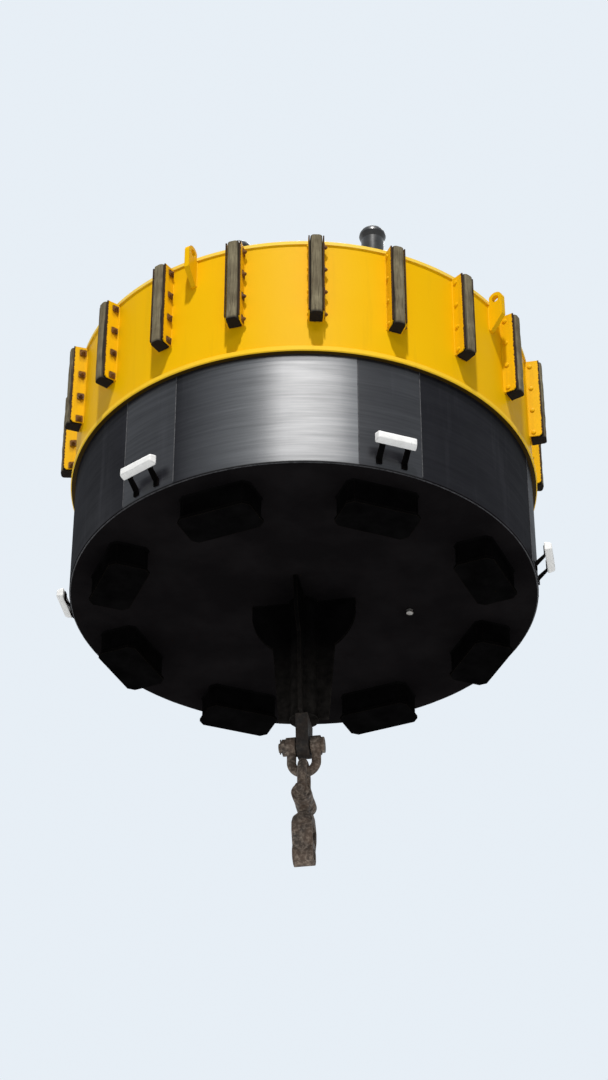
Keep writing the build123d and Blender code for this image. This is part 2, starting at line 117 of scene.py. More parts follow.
clear_selection()
bpy.ops.mesh.primitive_plane_add(size=floor_size, location=(0, 0, floor_height))
floor = bpy.context.object
floor.name = "floor"
floor_paint = bpy.data.materials.new("floor_paint")
floor_paint.use_nodes = True
floor_shader = floor_paint.node_tree.nodes["Principled BSDF"]
floor_shader.inputs["Base Color"].default_value = (0.6, 0.61, 0.62, 1)
floor_shader.inputs["Roughness"].default_value = 0.8
floor.data.materials.append(floor_paint)
print("floor at", round(floor_height, 3))

# %% [markdown]
# The backdrop is the world itself. It could be a lit wall, but the world can be pale to the camera
# and to whatever mirrors it, and much dimmer as a lamp, so that colours come out about as they are
# written. Light Path tells which kind of ray is asking, and that picks one of two backgrounds.

# %% World
world = bpy.data.worlds.new("studio")
scene.world = world
world.use_nodes = True
world_nodes = world.node_tree.nodes
world_links = world.node_tree.links
world_nodes.clear()
paths = world_nodes.new("ShaderNodeLightPath")
seen = world_nodes.new("ShaderNodeMath")
seen.operation = "MAXIMUM"
mirrored = world_nodes.new("ShaderNodeMath")
mirrored.operation = "MAXIMUM"
backdrop = world_nodes.new("ShaderNodeBackground")
backdrop.inputs["Color"].default_value = (0.80, 0.86, 0.92, 1)
backdrop.inputs["Strength"].default_value = 1.0
glow = world_nodes.new("ShaderNodeBackground")
glow.inputs["Color"].default_value = (0.94, 0.97, 1.0, 1)
glow.inputs["Strength"].default_value = 0.1
choose = world_nodes.new("ShaderNodeMixShader")
world_out = world_nodes.new("ShaderNodeOutputWorld")
world_links.new(paths.outputs["Is Glossy Ray"], mirrored.inputs[0])
world_links.new(paths.outputs["Is Transmission Ray"], mirrored.inputs[1])
world_links.new(paths.outputs["Is Camera Ray"], seen.inputs[0])
world_links.new(mirrored.outputs[0], seen.inputs[1])
world_links.new(seen.outputs[0], choose.inputs["Fac"])
world_links.new(glow.outputs[0], choose.inputs[1])
world_links.new(backdrop.outputs[0], choose.inputs[2])
world_links.new(choose.outputs[0], world_out.inputs["Surface"])
print("world nodes", len(world_nodes))

# %% [markdown]
# The light comes from high in front, as at noon: a far lamp with nearly parallel rays draws the
# fenders' shadows on the band below them. A box at half that height is what the glossy black shell
# mirrors as its bright upright streak. A weak box lights the left side, and a strong one that hangs
# high behind the buoy lights the far side and the deck. One lamp could do the work of the first two,
# but then the shadows and the streak couldn't be set apart.

# %% Lamps
sun_height = math.radians(61)
sun_bearing = math.radians(-1)
sun_distance = 10


def aim_lamp(lamp, place, target):
    lamp.location = place
    lamp.rotation_euler = (Vector(target) - Vector(place)).to_track_quat("-Z", "Y").to_euler()


clear_selection()
bpy.ops.object.light_add(type="SUN")
high_lamp = bpy.context.object
high_lamp.name = "high_lamp"
high_lamp.data.energy = 4.0
high_lamp.data.angle = math.radians(3)
high_lamp.data.color = (1.0, 0.985, 0.96)
sun_way = Vector((math.sin(sun_bearing), -math.cos(sun_bearing), math.tan(sun_height)))
aim_lamp(high_lamp, sun_way * sun_distance, (0, 0, 0))

box_table = (  # name, place, aim, width, height, watts, colour
    ("streak_box", (0.5, -9.8, 6.0), (0, 0, 0), 5.8, 2.1, 142, (1.0, 0.98, 0.97)),
    ("left_box", (-10.0, 3.0, 3.0), (0, 0, 0), 5.0, 6.0, 60, (0.95, 0.98, 1.0)),
    ("back_box", (2.0, 8.0, 12.0), (0, 0, 0), 6.0, 5.0, 600, (1.0, 1.0, 1.0)),
)
for name, place, target, width, height, watts, colour in box_table:
    clear_selection()
    bpy.ops.object.light_add(type="AREA")
    lamp = bpy.context.object
    lamp.name = name
    aim_lamp(lamp, place, target)
    lamp.data.shape = "RECTANGLE"
    lamp.data.size = width
    lamp.data.size_y = height
    lamp.data.energy = watts
    lamp.data.color = colour

scene.view_settings.view_transform = "Standard"
print("lamps", 1 + len(box_table))

# %% [markdown]
# Paint on a buoy is never one colour. A few effects come back on most of its finishes, so each is a
# node group with its own inputs: cloudy patches, long upright runs where water has drained, level
# bands, the bare line that rubbing leaves along sharp edges, and where a point lies on the drum. The
# groups give out masks and values only, and each material decides what they mean.

# %% Helpers for shader groups
def new_group(name, inputs, outputs):
    group = bpy.data.node_groups.new(name, "ShaderNodeTree")
    for label, value in inputs:
        socket = group.interface.new_socket(label, in_out="INPUT", socket_type="NodeSocketFloat")
        socket.default_value = value
    for label in outputs:
        group.interface.new_socket(label, in_out="OUTPUT", socket_type="NodeSocketFloat")
    return group, group.nodes.new("NodeGroupInput"), group.nodes.new("NodeGroupOutput")


def add(tree, kind, links=None, **values):
    """Adds a node, sets its properties and wires or fills its inputs."""
    made = tree.nodes.new(kind)
    for name, value in values.items():
        setattr(made, name, value)
    for name, value in (links or {}).items():
        if isinstance(value, bpy.types.NodeSocket):
            tree.links.new(value, made.inputs[name])
        else:
            made.inputs[name].default_value = value
    return made


def math_node(tree, operation, a, b=0.0):
    return add(tree, "ShaderNodeMath", {0: a, 1: b}, operation=operation).outputs[0]


def times(tree, value, amount):
    return math_node(tree, "MULTIPLY", value, amount)


def ramp(tree, value, low, high, to_low=0.0, to_high=1.0):
    """Maps a value from low..high to to_low..to_high, and holds it there beyond the ends."""
    ends = {"Value": value, "From Min": low, "From Max": high, "To Min": to_low, "To Max": to_high}
    return add(tree, "ShaderNodeMapRange", ends).outputs["Result"]


def object_place(tree, stretch=None):
    place = add(tree, "ShaderNodeTexCoord").outputs["Object"]
    if stretch is None:
        return place
    return add(tree, "ShaderNodeMapping", {"Vector": place, "Scale": stretch}).outputs["Vector"]


def noise(tree, place, scale, detail=5.0, roughness=0.6):
    links = {"Vector": place, "Scale": scale, "Detail": detail, "Roughness": roughness}
    return add(tree, "ShaderNodeTexNoise", links).outputs["Fac"]


# %% [markdown]
# Patches, runs and bands are one noise, stretched in three ways and then cut between two levels.
# Edges sets the Bevel node's rounded normal against the true one: they differ only near a corner.
# Drum place turns X and Y into a distance from the axis and a bearing, with zero straight in front.

# %% Shared shader groups
def make_patches(name, stretch):
    """Noise cut between two levels: round clouds, or stretched to upright runs or level bands."""
    group, source, sink = new_group(name, [("Scale", 3.0), ("From", 0.4), ("To", 0.6)], ["Mask"])
    cloud = noise(group, object_place(group, stretch), source.outputs["Scale"], 7.0, 0.62)
    group.links.new(ramp(group, cloud, source.outputs["From"], source.outputs["To"]), sink.inputs["Mask"])
    return group


def make_edges():
    group, source, sink = new_group("edges", [("Width", 0.012), ("Break up", 30.0)], ["Mask"])
    rounded = add(group, "ShaderNodeBevel", {"Radius": source.outputs["Width"]}, samples=4)
    flat_normal = add(group, "ShaderNodeNewGeometry").outputs["Normal"]
    normals = {0: rounded.outputs["Normal"], 1: flat_normal}
    same = add(group, "ShaderNodeVectorMath", normals, operation="DOT_PRODUCT")
    broken = noise(group, object_place(group), source.outputs["Break up"], 4.0)
    turn = math_node(group, "SUBTRACT", 1.0, same.outputs["Value"])
    group.links.new(ramp(group, times(group, turn, broken), 0.03, 0.12), sink.inputs["Mask"])
    return group


def make_drum_place():
    """Distance from the hull's axis, bearing in degrees and height of the point that is shaded."""
    group, source, sink = new_group("drum_place", [], ["Radius", "Bearing", "Height"])
    place = object_place(group)
    flat = add(group, "ShaderNodeVectorMath", {0: place, 1: (1.0, 1.0, 0.0)}, operation="MULTIPLY")
    length = add(group, "ShaderNodeVectorMath", {0: flat.outputs[0]}, operation="LENGTH")
    apart = add(group, "ShaderNodeSeparateXYZ", {0: place})
    turn = math_node(group, "ARCTAN2", apart.outputs["X"], times(group, apart.outputs["Y"], -1.0))
    group.links.new(length.outputs["Value"], sink.inputs["Radius"])
    group.links.new(times(group, turn, 180 / math.pi), sink.inputs["Bearing"])
    group.links.new(apart.outputs["Z"], sink.inputs["Height"])
    return group


patches = make_patches("patches", (1.0, 1.0, 1.0))
runs = make_patches("runs", (1.0, 1.0, 0.07))
bands = make_patches("bands", (0.25, 0.25, 6.0))
edges = make_edges()
drum_place = make_drum_place()
print("shader groups", len(bpy.data.node_groups))

# %% [markdown]
# Every finish starts from the same shader, so a few helpers keep the materials short: one places a
# group with its values, one blends two colours by a mask, one turns a mask into relief.

# %% Material helpers
def mask(tree, group, **values):
    made = tree.nodes.new("ShaderNodeGroup")
    made.node_tree = group
    for name, value in values.items():
        made.inputs[name.replace("_", " ")].default_value = value
    return made.outputs["Mask"]


def where(tree, name):
    made = tree.nodes.new("ShaderNodeGroup")
    made.node_tree = drum_place
    return made.outputs[name]


def mix(tree, fac, a, b):
    """A colour that goes from a to b with the mask."""
    made = add(tree, "ShaderNodeMix", data_type="RGBA")
    tree.links.new(fac, made.inputs[0])
    for slot, value in ((6, a), (7, b)):
        if isinstance(value, bpy.types.NodeSocket):
            tree.links.new(value, made.inputs[slot])
        else:
            made.inputs[slot].default_value = (*value, 1)
    return made.outputs[2]


def new_material(name, metallic=0.0, roughness=0.5, specular=0.5, coat_roughness=0.1):
    material = bpy.data.materials.new(name)
    material.use_nodes = True
    tree = material.node_tree
    shader = tree.nodes["Principled BSDF"]
    shader.inputs["Metallic"].default_value = metallic
    shader.inputs["Roughness"].default_value = roughness
    shader.inputs["Specular IOR Level"].default_value = specular
    shader.inputs["Coat Roughness"].default_value = coat_roughness
    print("finish", name)
    return material, tree, shader


def paint(tree, shader, colour, roughness=None, coat=None):
    for name, value in (("Base Color", colour), ("Roughness", roughness), ("Coat Weight", coat)):
        if value is not None:
            tree.links.new(value, shader.inputs[name])


def relief(tree, shader, height, strength, distance):
    bump = add(tree, "ShaderNodeBump", {"Height": height, "Strength": strength, "Distance": distance})
    tree.links.new(bump.outputs["Normal"], shader.inputs["Normal"])


# %% [markdown]
# The yellow is a tough marine enamel: strong, a little warm, with a low sheen. Salt and weather pale
# it in clouds, water leaves faint dull runs, and the steel's edges show a thin rusty line. The deck
# has the same paint with grit in it, so that nobody slips. The lip and the rim are a paler yellow
# than the band, as a painted highlight on those edges, and the lip's underside is painted dark brown
# as painted shade. All of this could be painted on an image, but then every part would have to be
# unwrapped. Noise on Object coordinates has no seams, and it goes on from one part to the next.

# %% Yellow paint
rust_brown = (0.13, 0.05, 0.018)
run_brown = (0.5, 0.27, 0.012)
underside_shade_brown = (0.045, 0.026, 0.004)
lip_underside = 0.0004


def yellow_paint(name, colour, pale, rust_amount, grit=0.0, shaded_below=None):
    material, tree, shader = new_material(name, roughness=0.48, specular=0.05)
    cloud = mask(tree, patches, Scale=1.3, From=0.35, To=0.75)
    dirt = mask(tree, runs, Scale=7.0, From=0.56, To=0.8)
    worn = mask(tree, edges, Width=0.007, Break_up=45.0)
    base = mix(tree, times(tree, cloud, 0.5), colour, pale)
    dirty = mix(tree, times(tree, dirt, 0.3), base, run_brown)
    final = mix(tree, times(tree, worn, rust_amount), dirty, rust_brown)
    # Below the given height, the underside is painted dark brown as painted shade.
    if shaded_below is not None:
        high = ramp(tree, where(tree, "Height"), shaded_below, shaded_below + 0.001)
        final = mix(tree, high, underside_shade_brown, final)
    paint(tree, shader, final, ramp(tree, cloud, 0.0, 1.0, 0.38, 0.55))
    if grit:
        relief(tree, shader, noise(tree, object_place(tree), 420.0, 2.0), 0.9, grit)
    else:
        relief(tree, shader, cloud, 0.12, 0.004)
    return material


band_yellow = yellow_paint("band_yellow", (0.82, 0.455, 0.001), (0.84, 0.49, 0.002), 0.5)
# The lip and the rim are paler than the band, as a painted highlight, and the lip's underside gets painted
# shade.
lip_highlight_and_shade = yellow_paint(
    "lip_highlight_and_shade", (0.92, 0.56, 0.02), (0.93, 0.62, 0.06), 0.4, shaded_below=lip_underside
)
rim_painted_highlight = yellow_paint("rim_painted_highlight", (0.93, 0.62, 0.06), (0.95, 0.74, 0.22), 0.35)
deck_yellow = yellow_paint("deck_yellow", (0.8, 0.45, 0.004), (0.85, 0.54, 0.03), 0.6, grit=0.0022)

# %% [markdown]
# The fenders' steel channels wear the same yellow, but ships rub their outer edges bare, and those
# turn dark brown. The distance from the hull's axis tells where the outer edges are. Rust weeps from
# the four bolts on the cheek that faces the next fender round, so that cheek has a stain under each
# one. Which cheek it is comes from the surface's own direction, set against the way round the hull.
# The seventy-six stains could be painted one by one, but four rows of nodes fit every fender alike.

# %% Fender paint
fender_depth = 0.110
tie_radius = 1.851
tie_heights = (0.336, 0.555, 0.775, 0.995)
rubbed_border = 0.011
rubbed_wander = 0.005
stain_aside = (0.018, 0.040)  # full and gone, to either side of the bolts' line
stain_above = (0.022, 0.040)  # full and gone, over the bolt
stain_below = (0.02, 0.10)  # full and gone, under the bolt


def fender_paint(edge_radius):
    material, tree, shader = new_material("fender_yellow", roughness=0.48, specular=0.05)
    cloud = mask(tree, patches, Scale=2.5, From=0.4, To=0.75)
    broken = noise(tree, object_place(tree), 60.0, 4.0)
    radius = where(tree, "Radius")
    height = where(tree, "Height")
    wander = ramp(tree, broken, 0.3, 0.7, -rubbed_wander, rubbed_wander)
    reach = math_node(tree, "ADD", radius, wander)
    rubbed = ramp(tree, reach, edge_radius, edge_radius + 0.004)
    base = mix(tree, times(tree, cloud, 0.4), (0.84, 0.468, 0.0015), (0.76, 0.44, 0.012))
    dirt = mask(tree, runs, Scale=14.0, From=0.5, To=0.75)
    dirty = mix(tree, times(tree, dirt, 0.35), base, (0.42, 0.2, 0.012))
    surface = add(tree, "ShaderNodeNewGeometry").outputs["Normal"]
    turn = add(tree, "ShaderNodeVectorMath", {0: object_place(tree), 1: surface}, operation="CROSS_PRODUCT")
    onward = ramp(tree, add(tree, "ShaderNodeSeparateXYZ", {0: turn.outputs[0]}).outputs["Z"], 1.2, 1.6)
    aside = math_node(tree, "ABSOLUTE", math_node(tree, "SUBTRACT", radius, tie_radius))
    stain = times(tree, onward, ramp(tree, aside, stain_aside[1], stain_aside[0]))
    rows = 0.0
    for row in tie_heights:
        above = ramp(tree, height, row + stain_above[1], row + stain_above[0])
        below = ramp(tree, height, row - stain_below[1], row - stain_below[0])
        rows = math_node(tree, "ADD", times(tree, below, above), rows)
    stain = times(tree, times(tree, stain, rows), ramp(tree, broken, 0.3, 0.55, 0.45, 1.0))
    stained = mix(tree, stain, dirty, (0.17, 0.065, 0.006))
    colour = mix(tree, rubbed, stained, (0.05, 0.028, 0.016))
    paint(tree, shader, colour, ramp(tree, rubbed, 0, 1, 0.45, 0.75))
    relief(tree, shader, cloud, 0.15, 0.004)
    return material


fender_yellow = fender_paint(band_radius + fender_depth - rubbed_border)

# %% [markdown]
# Below the waterline the hull has a black anti-corrosion coating, rolled on in level bands, so a
# clear coat whose weight comes and goes in bands breaks up its bright streak. The shell is made of
# plates that were coated on different days. Every other wide plate is glossy, most of all at the
# seam where the coating was begun, and thins out towards the other one. The wide plates between are
# dull, the narrow ones that carry the anodes a little less so, and the bottom has no gloss at all.
# Roughness alone could tell them apart, but a coat can fade out and leave the dull black under it.

# %% Black hull coating
anode_count = 6
first_anode_bearing = 22
seam_spread = 7.85  # degrees from an anode to the seams beside it
seam_blur = 0.2
side_start = (0.012, 0.024)  # over the bottom, where the side's coating sets in
thinned_gloss, narrow_gloss, dull_gloss = 0.09, 0.29, 0.07  # shares of the full gloss
even_gloss, level_gloss, fine_gloss = 0.62, 0.2, 0.25  # the coat's own weight and its bands


def plate_gloss(tree):
    """The share of the full gloss by bearing, with the glossy plate's middle as the zero."""
    plate_step = 360 / anode_count
    half_plate = plate_step / 2 - seam_spread
    next_seam = plate_step - half_plate
    turned = math_node(tree, "SUBTRACT", where(tree, "Bearing"), first_anode_bearing - plate_step * 1.5)
    folded = math_node(tree, "FLOORED_MODULO", turned, 2 * plate_step)
    along = math_node(tree, "SUBTRACT", folded, plate_step)
    aside = math_node(tree, "ABSOLUTE", along)
    inside = ramp(tree, aside, half_plate + seam_blur, half_plate - seam_blur)
    begun = ramp(tree, along, -half_plate, 0.2 * half_plate, thinned_gloss, 1.0)
    others = ramp(tree, aside, next_seam - seam_blur, next_seam + seam_blur, narrow_gloss, dull_gloss)
    outside = math_node(tree, "SUBTRACT", 1.0, inside)
    return math_node(tree, "ADD", times(tree, inside, begun), times(tree, outside, others))


def hull_paint(bottom_z):
    material, tree, shader = new_material("hull_black", roughness=0.6, specular=0.0, coat_roughness=0.29)
    shader.inputs["Coat IOR"].default_value = 2.5
    level = mask(tree, bands, Scale=1.6, From=0.3, To=0.7)
    fine = mask(tree, bands, Scale=7.0, From=0.35, To=0.65)
    cloud = mask(tree, patches, Scale=2.2, From=0.4, To=0.75)
    dust = mask(tree, runs, Scale=9.0, From=0.55, To=0.8)
    side = ramp(tree, where(tree, "Height"), bottom_z + side_start[0], bottom_z + side_start[1])
    side_tone = mix(tree, cloud, (0.008, 0.008, 0.0105), (0.014, 0.014, 0.0175))
    dusty = mix(tree, times(tree, dust, 0.5), side_tone, (0.035, 0.035, 0.042))
    bottom_tone = mix(tree, cloud, (0.0062, 0.0055, 0.006), (0.011, 0.0098, 0.0105))
    streaks = math_node(tree, "ADD", times(tree, level, level_gloss), times(tree, fine, fine_gloss))
    gloss = times(tree, math_node(tree, "ADD", streaks, even_gloss), plate_gloss(tree))
    paint(tree, shader, mix(tree, side, bottom_tone, dusty), None, times(tree, gloss, side))
    relief(tree, shader, level, 0.1, 0.003)
    return material


hull_black = hull_paint(-hull_draft)

# %% [markdown]
# The feet, the gussets and the straps behind the anodes are dead matt black, a deeper black than the
# hull's as painted shade. The gussets and the tube between them are painted that black near the hull,
# as shade under it, and turn to a spotted grey as they hang further below, so their colour follows
# the height. Two materials could be written, but one recipe with the greying as a choice keeps the
# black alike on both.

# %% Matt black
greying_start, greying_end = -1.35, -1.95


def matt_black(name, greyed_from=None, greyed_to=None):
    material, tree, shader = new_material(name, roughness=0.7, specular=0.0)
    cloud = mask(tree, patches, Scale=5.0, From=0.35, To=0.7)
    worn = mask(tree, edges, Width=0.006, Break_up=40.0)
    # A deeper black than the hull's own, as painted shade.
    colour = mix(tree, cloud, (0.0018, 0.0017, 0.0018), (0.0042, 0.004, 0.0042))
    # Black near the hull as painted shade, spotted grey further down.
    if greyed_from is not None:
        low = ramp(tree, where(tree, "Height"), greyed_from, greyed_to)
        spots = mask(tree, patches, Scale=16.0, From=0.3, To=0.75)
        grey = mix(tree, spots, (0.008, 0.0075, 0.007), (0.028, 0.025, 0.023))
        colour = mix(tree, low, colour, grey)
    colour = mix(tree, times(tree, worn, 0.25), colour, (0.05, 0.034, 0.024))
    paint(tree, shader, colour)
    relief(tree, shader, cloud, 0.3, 0.003)
    return material


shaded_foot_black = matt_black("shaded_foot_black")
shaded_gusset_black = matt_black("shaded_gusset_black", greying_start, greying_end)

# %% [markdown]
# The gear on the deck is black too, but it is handled and hosed down, so it stays glossy and shows
# bare brown steel on every rim. The rims could be marked by hand, but the edges group finds them
# wherever a part has a corner.

# %% Glossy black gear paint
def gear_paint():
    material, tree, shader = new_material("gear_black", roughness=0.32, specular=0.4)
    cloud = mask(tree, patches, Scale=9.0, From=0.35, To=0.7)
    worn = mask(tree, edges, Width=0.008, Break_up=55.0)
    base = mix(tree, cloud, (0.012, 0.012, 0.013), (0.022, 0.022, 0.023))
    colour = mix(tree, times(tree, worn, 0.8), base, (0.12, 0.06, 0.03))
    paint(tree, shader, colour, ramp(tree, cloud, 0, 1, 0.26, 0.45))
    relief(tree, shader, cloud, 0.25, 0.002)
    return material


gear_black = gear_paint()

# %% [markdown]
# The sacrificial anodes are bright cast metal with a slightly uneven skin. The forged gear under the
# pedestal is old bare steel: near-black scale, brown rust over it, and a paler crust here and there.
# Both could be shaded as metal, but that mirrors the backdrop, which neither a cast skin nor rust
# does.

# %% Cast and forged metal
def cast_metal():
    material, tree, shader = new_material("anode_metal", roughness=0.5)
    cloud = mask(tree, patches, Scale=14.0, From=0.35, To=0.7)
    pits = mask(tree, patches, Scale=90.0, From=0.58, To=0.7)
    skin = mix(tree, cloud, (0.95, 0.95, 0.94), (0.86, 0.86, 0.85))
    paint(tree, shader, mix(tree, times(tree, pits, 0.5), skin, (0.5, 0.5, 0.48)))
    relief(tree, shader, cloud, 0.3, 0.003)
    return material


def rusty_steel(name, scale_colour, rust, crust, crust_amount):
    material, tree, shader = new_material(name, roughness=0.85, specular=0.3)
    wide = mask(tree, patches, Scale=9.0, From=0.38, To=0.62)
    fine = mask(tree, patches, Scale=38.0, From=0.46, To=0.74)
    pits = noise(tree, object_place(tree), 160.0, 6.0)
    rough_colour = mix(tree, wide, scale_colour, rust)
    colour = mix(tree, times(tree, fine, crust_amount), rough_colour, crust)
    paint(tree, shader, colour, ramp(tree, wide, 0, 1, 0.6, 0.92))
    relief(tree, shader, math_node(tree, "ADD", times(tree, fine, 0.6), pits), 0.7, 0.004)
    return material


anode_metal = cast_metal()
forged_rust = rusty_steel("forged_rust", (0.055, 0.045, 0.038), (0.14, 0.1, 0.076), (0.5, 0.41, 0.33), 0.7)
pedestal_rust = rusty_steel(
    "pedestal_rust", (0.012, 0.0105, 0.0095), (0.035, 0.026, 0.021), (0.09, 0.07, 0.056), 0.5
)
bolt_rust = rusty_steel("bolt_rust", (0.08, 0.032, 0.008), (0.19, 0.078, 0.012), (0.32, 0.16, 0.02), 0.5)

# %% [markdown]
# Pins, bolts and rings that are handled stay grey. The mooring hook is dark cast steel that ropes
# keep smooth, and its lever is red so that it is found at once. The steel could be a grey paint, but
# shaded as metal it mirrors what is round it, and that shows its round forms.

# %% Grey steel and lever paint
def grey_steel(name, dark, light, roughness):
    material, tree, shader = new_material(name, metallic=0.8, roughness=roughness)
    cloud = mask(tree, patches, Scale=16.0, From=0.35, To=0.7)
    rust = mask(tree, patches, Scale=34.0, From=0.56, To=0.68)
    tone = mix(tree, cloud, light, dark)
    colour = mix(tree, times(tree, rust, 0.45), tone, (0.16, 0.075, 0.035))
    paint(tree, shader, colour, ramp(tree, cloud, 0, 1, roughness - 0.1, roughness + 0.15))
    relief(tree, shader, cloud, 0.2, 0.002)
    return material


def red_paint():
    material, tree, shader = new_material("lever_red", roughness=0.38, specular=0.4)
    worn = mask(tree, edges, Width=0.006, Break_up=60.0)
    cloud = mask(tree, patches, Scale=12.0, From=0.4, To=0.7)
    base = mix(tree, cloud, (0.5, 0.025, 0.016), (0.38, 0.03, 0.022))
    paint(tree, shader, mix(tree, worn, base, (0.2, 0.19, 0.18)), ramp(tree, cloud, 0, 1, 0.32, 0.5))
    relief(tree, shader, cloud, 0.2, 0.002)
    return material


bolt_steel = grey_steel("bolt_steel", (0.22, 0.205, 0.19), (0.42, 0.41, 0.4), 0.45)
hook_steel = grey_steel("hook_steel", (0.06, 0.06, 0.065), (0.14, 0.14, 0.15), 0.4)
lever_red = red_paint()

# %% [markdown]
# The frame's own parts keep their shapes and only get a finish. They could be given one where each
# finish is made, but a single table shows at a glance which part wears what. The fenders' timbers are
# missing from it, because new ones take their place.

# %% Dress the frame's own parts
dress = {
    band_yellow: ("upper_shell", "lifting_lugs"),
    lip_highlight_and_shade: ("band_lip",),
    fender_yellow: ("fender_brackets",),
    rim_painted_highlight: ("rim_ring",),
    deck_yellow: ("deck_plate", "manhole_coaming", "manhole_cover"),
    hull_black: ("lower_shell",),
    shaded_foot_black: ("bottom_feet", "anode_straps"),
    shaded_gusset_black: ("pedestal_gussets", "pedestal_tube"),
    gear_black: ("bollards", "hook_base", "hook_base_ribs", "hook_turntable", "hook_cheeks"),
    anode_metal: ("anode_bars",),
    pedestal_rust: ("pedestal_padeye",),
    forged_rust: (
        "upper_shackle", "upper_shackle_pin", "lower_shackle", "lower_shackle_pin",
        "swivel_eye", "swivel_bow",
    ),
    bolt_steel: ("bottom_plug", "hook_pin", "release_pin"),
    hook_steel: ("hook_arm",),
    lever_red: ("release_lever",),
}
for material, names in dress.items():
    for name in names:
        mesh = nodes[name].data
        mesh.materials.clear()
        mesh.materials.append(material)
print("dressed", sum(len(names) for names in dress.values()), "of", len(nodes))

# %% [markdown]
# The added pieces are shaped by hand, as in the window: a primitive goes in at its size, edit mode
# extrudes, insets and bevels it, and what repeats is copied. Faces and edges are picked in code, by
# their place or their normal, since nobody is there to click on them.

# %% Selecting and picking
def activate(piece):
    clear_selection()
    piece.select_set(True)
    bpy.context.view_layer.objects.active = piece


def edit(piece, kind="FACE"):
    activate(piece)
    bpy.ops.object.mode_set(mode="EDIT")
    bpy.ops.mesh.select_mode(type=kind)
    bpy.ops.mesh.select_all(action="DESELECT")


def leave():
    bpy.ops.object.mode_set(mode="OBJECT")


def pick(piece, kind, test):
    """Selects, in edit mode, the faces, edges or points that pass the test."""
    shape = bmesh.from_edit_mesh(piece.data)
    parts = {"VERT": shape.verts, "EDGE": shape.edges, "FACE": shape.faces}[kind]
    found = [part for part in parts if test(part)]
    for part in found:
        part.select_set(True)
    shape.select_flush_mode()
    bmesh.update_edit_mesh(piece.data)
    return len(found)


def span(edge):
    return edge.verts[1].co - edge.verts[0].co


def middle(edge):
    return (edge.verts[0].co + edge.verts[1].co) / 2


def apply(piece, kind, **values):
    activate(piece)
    modifier = piece.modifiers.new(kind.lower(), kind)
    for name, value in values.items():
        setattr(modifier, name, value)
    bpy.ops.object.modifier_apply(modifier=modifier.name)


# %% [markdown]
# A block or a round bar is the start of nearly every piece. It is added at its real size and place,
# and its scale is applied at once, so that a bevel comes out as wide on one side as on another.

# %% Blocks and bars
def cube(low, high):
    """A block between two corners, at the origin and unscaled."""
    low, high = Vector(low), Vector(high)
    clear_selection()
    bpy.ops.mesh.primitive_cube_add(size=1, location=(low + high) / 2)
    made = bpy.context.object
    made.scale = high - low
    bpy.ops.object.transform_apply(location=True, rotation=True, scale=True)
    return made


def rod(radius, length, sides, place=(0, 0, 0)):
    """A round bar that stands on place and rises along Z."""
    clear_selection()
    x, y, z = place
    centre = (x, y, z + length / 2)
    bpy.ops.mesh.primitive_cylinder_add(vertices=sides, radius=radius, depth=length, location=centre)
    bpy.ops.object.transform_apply(location=True, rotation=True, scale=True)
    return bpy.context.object


# %% [markdown]
# Three edits come back often: bevelling edges, scaling a face towards a point, which gives tapers and
# drafts, and dividing long edges, so that a straight form can be made uneven. The window's knife and
# loop cut aren't there in a script, but subdividing picked edges does the same on a straight bar.

# %% Edits that come back
tiny = 1e-6


def bevel_edges(piece, test, width, segments=1):
    edit(piece, "EDGE")
    pick(piece, "EDGE", test)
    bpy.ops.mesh.bevel(
        offset=width, offset_type="OFFSET", segments=segments, profile=0.5, clamp_overlap=True
    )
    leave()


def bevel_top(piece, height, width, segments=1):
    """Bevels the edges that lie at the given height or over it."""
    bevel_edges(piece, lambda e: middle(e).z > height - tiny, width, segments)


def resize_faces(piece, test, factors, centre):
    edit(piece)
    pick(piece, "FACE", test)
    bpy.ops.transform.resize(value=factors, center_override=centre)
    leave()


def cut_across(piece, cuts, shortest):
    """Divides the piece's long upright edges, so that it can be bent or made uneven."""
    edit(piece, "EDGE")
    pick(piece, "EDGE", lambda e: abs(span(e).z) > shortest)
    bpy.ops.mesh.subdivide(number_cuts=cuts)
    leave()


# %% [markdown]
# What the buoy has many times is modelled once. Each copy gets a mesh of its own and a place, given
# as a matrix: by its bearing round the hull, or by the way that it faces. The copies are then joined
# with their places applied, so that the finished piece lies at the origin, as the frame's parts do.

# %% Copies and places
def together(name, pieces):
    """Applies each piece's place and joins them into one."""
    clear_selection()
    for piece in pieces:
        piece.select_set(True)
    bpy.context.view_layer.objects.active = pieces[0]
    bpy.ops.object.transform_apply(location=True, rotation=True, scale=True)
    if len(pieces) > 1:
        bpy.ops.object.join()
    pieces[0].name = name
    return pieces[0]


def twin_of(piece):
    """A copy with a mesh of its own."""
    twin = piece.copy()
    twin.data = piece.data.copy()
    scene.collection.objects.link(twin)
    return twin


def copies(name, piece, places):
    """Copies a piece to every place and joins the copies."""
    twins = []
    for place in places:
        twin = twin_of(piece)
        twin.matrix_world = place
        twins.append(twin)
    bpy.data.objects.remove(piece)
    return together(name, twins)


def at_bearing(bearing, place=(0, 0, 0)):
    """The place of a piece that is modelled along +X with +X outwards."""
    return Matrix.Rotation(math.radians(bearing - 90), 4, "Z") @ Matrix.Translation(place)


def facing(direction, place):
    """The place of a piece that is modelled standing on the origin along +Z."""
    turn = Vector(direction).to_track_quat("Z", "Y").to_matrix().to_4x4()
    return Matrix.Translation(place) @ turn


# %% [markdown]
# A finished piece is shaded smooth up to a given angle and gets its finish. It then rides on the body
# that carries it.

# %% Handing a piece over
def hand_over(piece, material, body, smooth=35):
    """Gives a piece its finish and lets it ride on its body."""
    activate(piece)
    bpy.ops.object.shade_smooth_by_angle(angle=math.radians(smooth))
    piece.data.name = piece.name
    piece.data.materials.clear()
    piece.data.materials.append(material)
    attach(piece, body)
    print(piece.name, len(piece.data.polygons), "faces")


# %% [markdown]
# Each fender's cushion is a timber batten with a rounded face, weathered grey. It could stay the
# plain solid, but ships' sides have dented it and the sun has split it. So one batten is modelled
# with those marks, and nineteen copies stand in the channels.

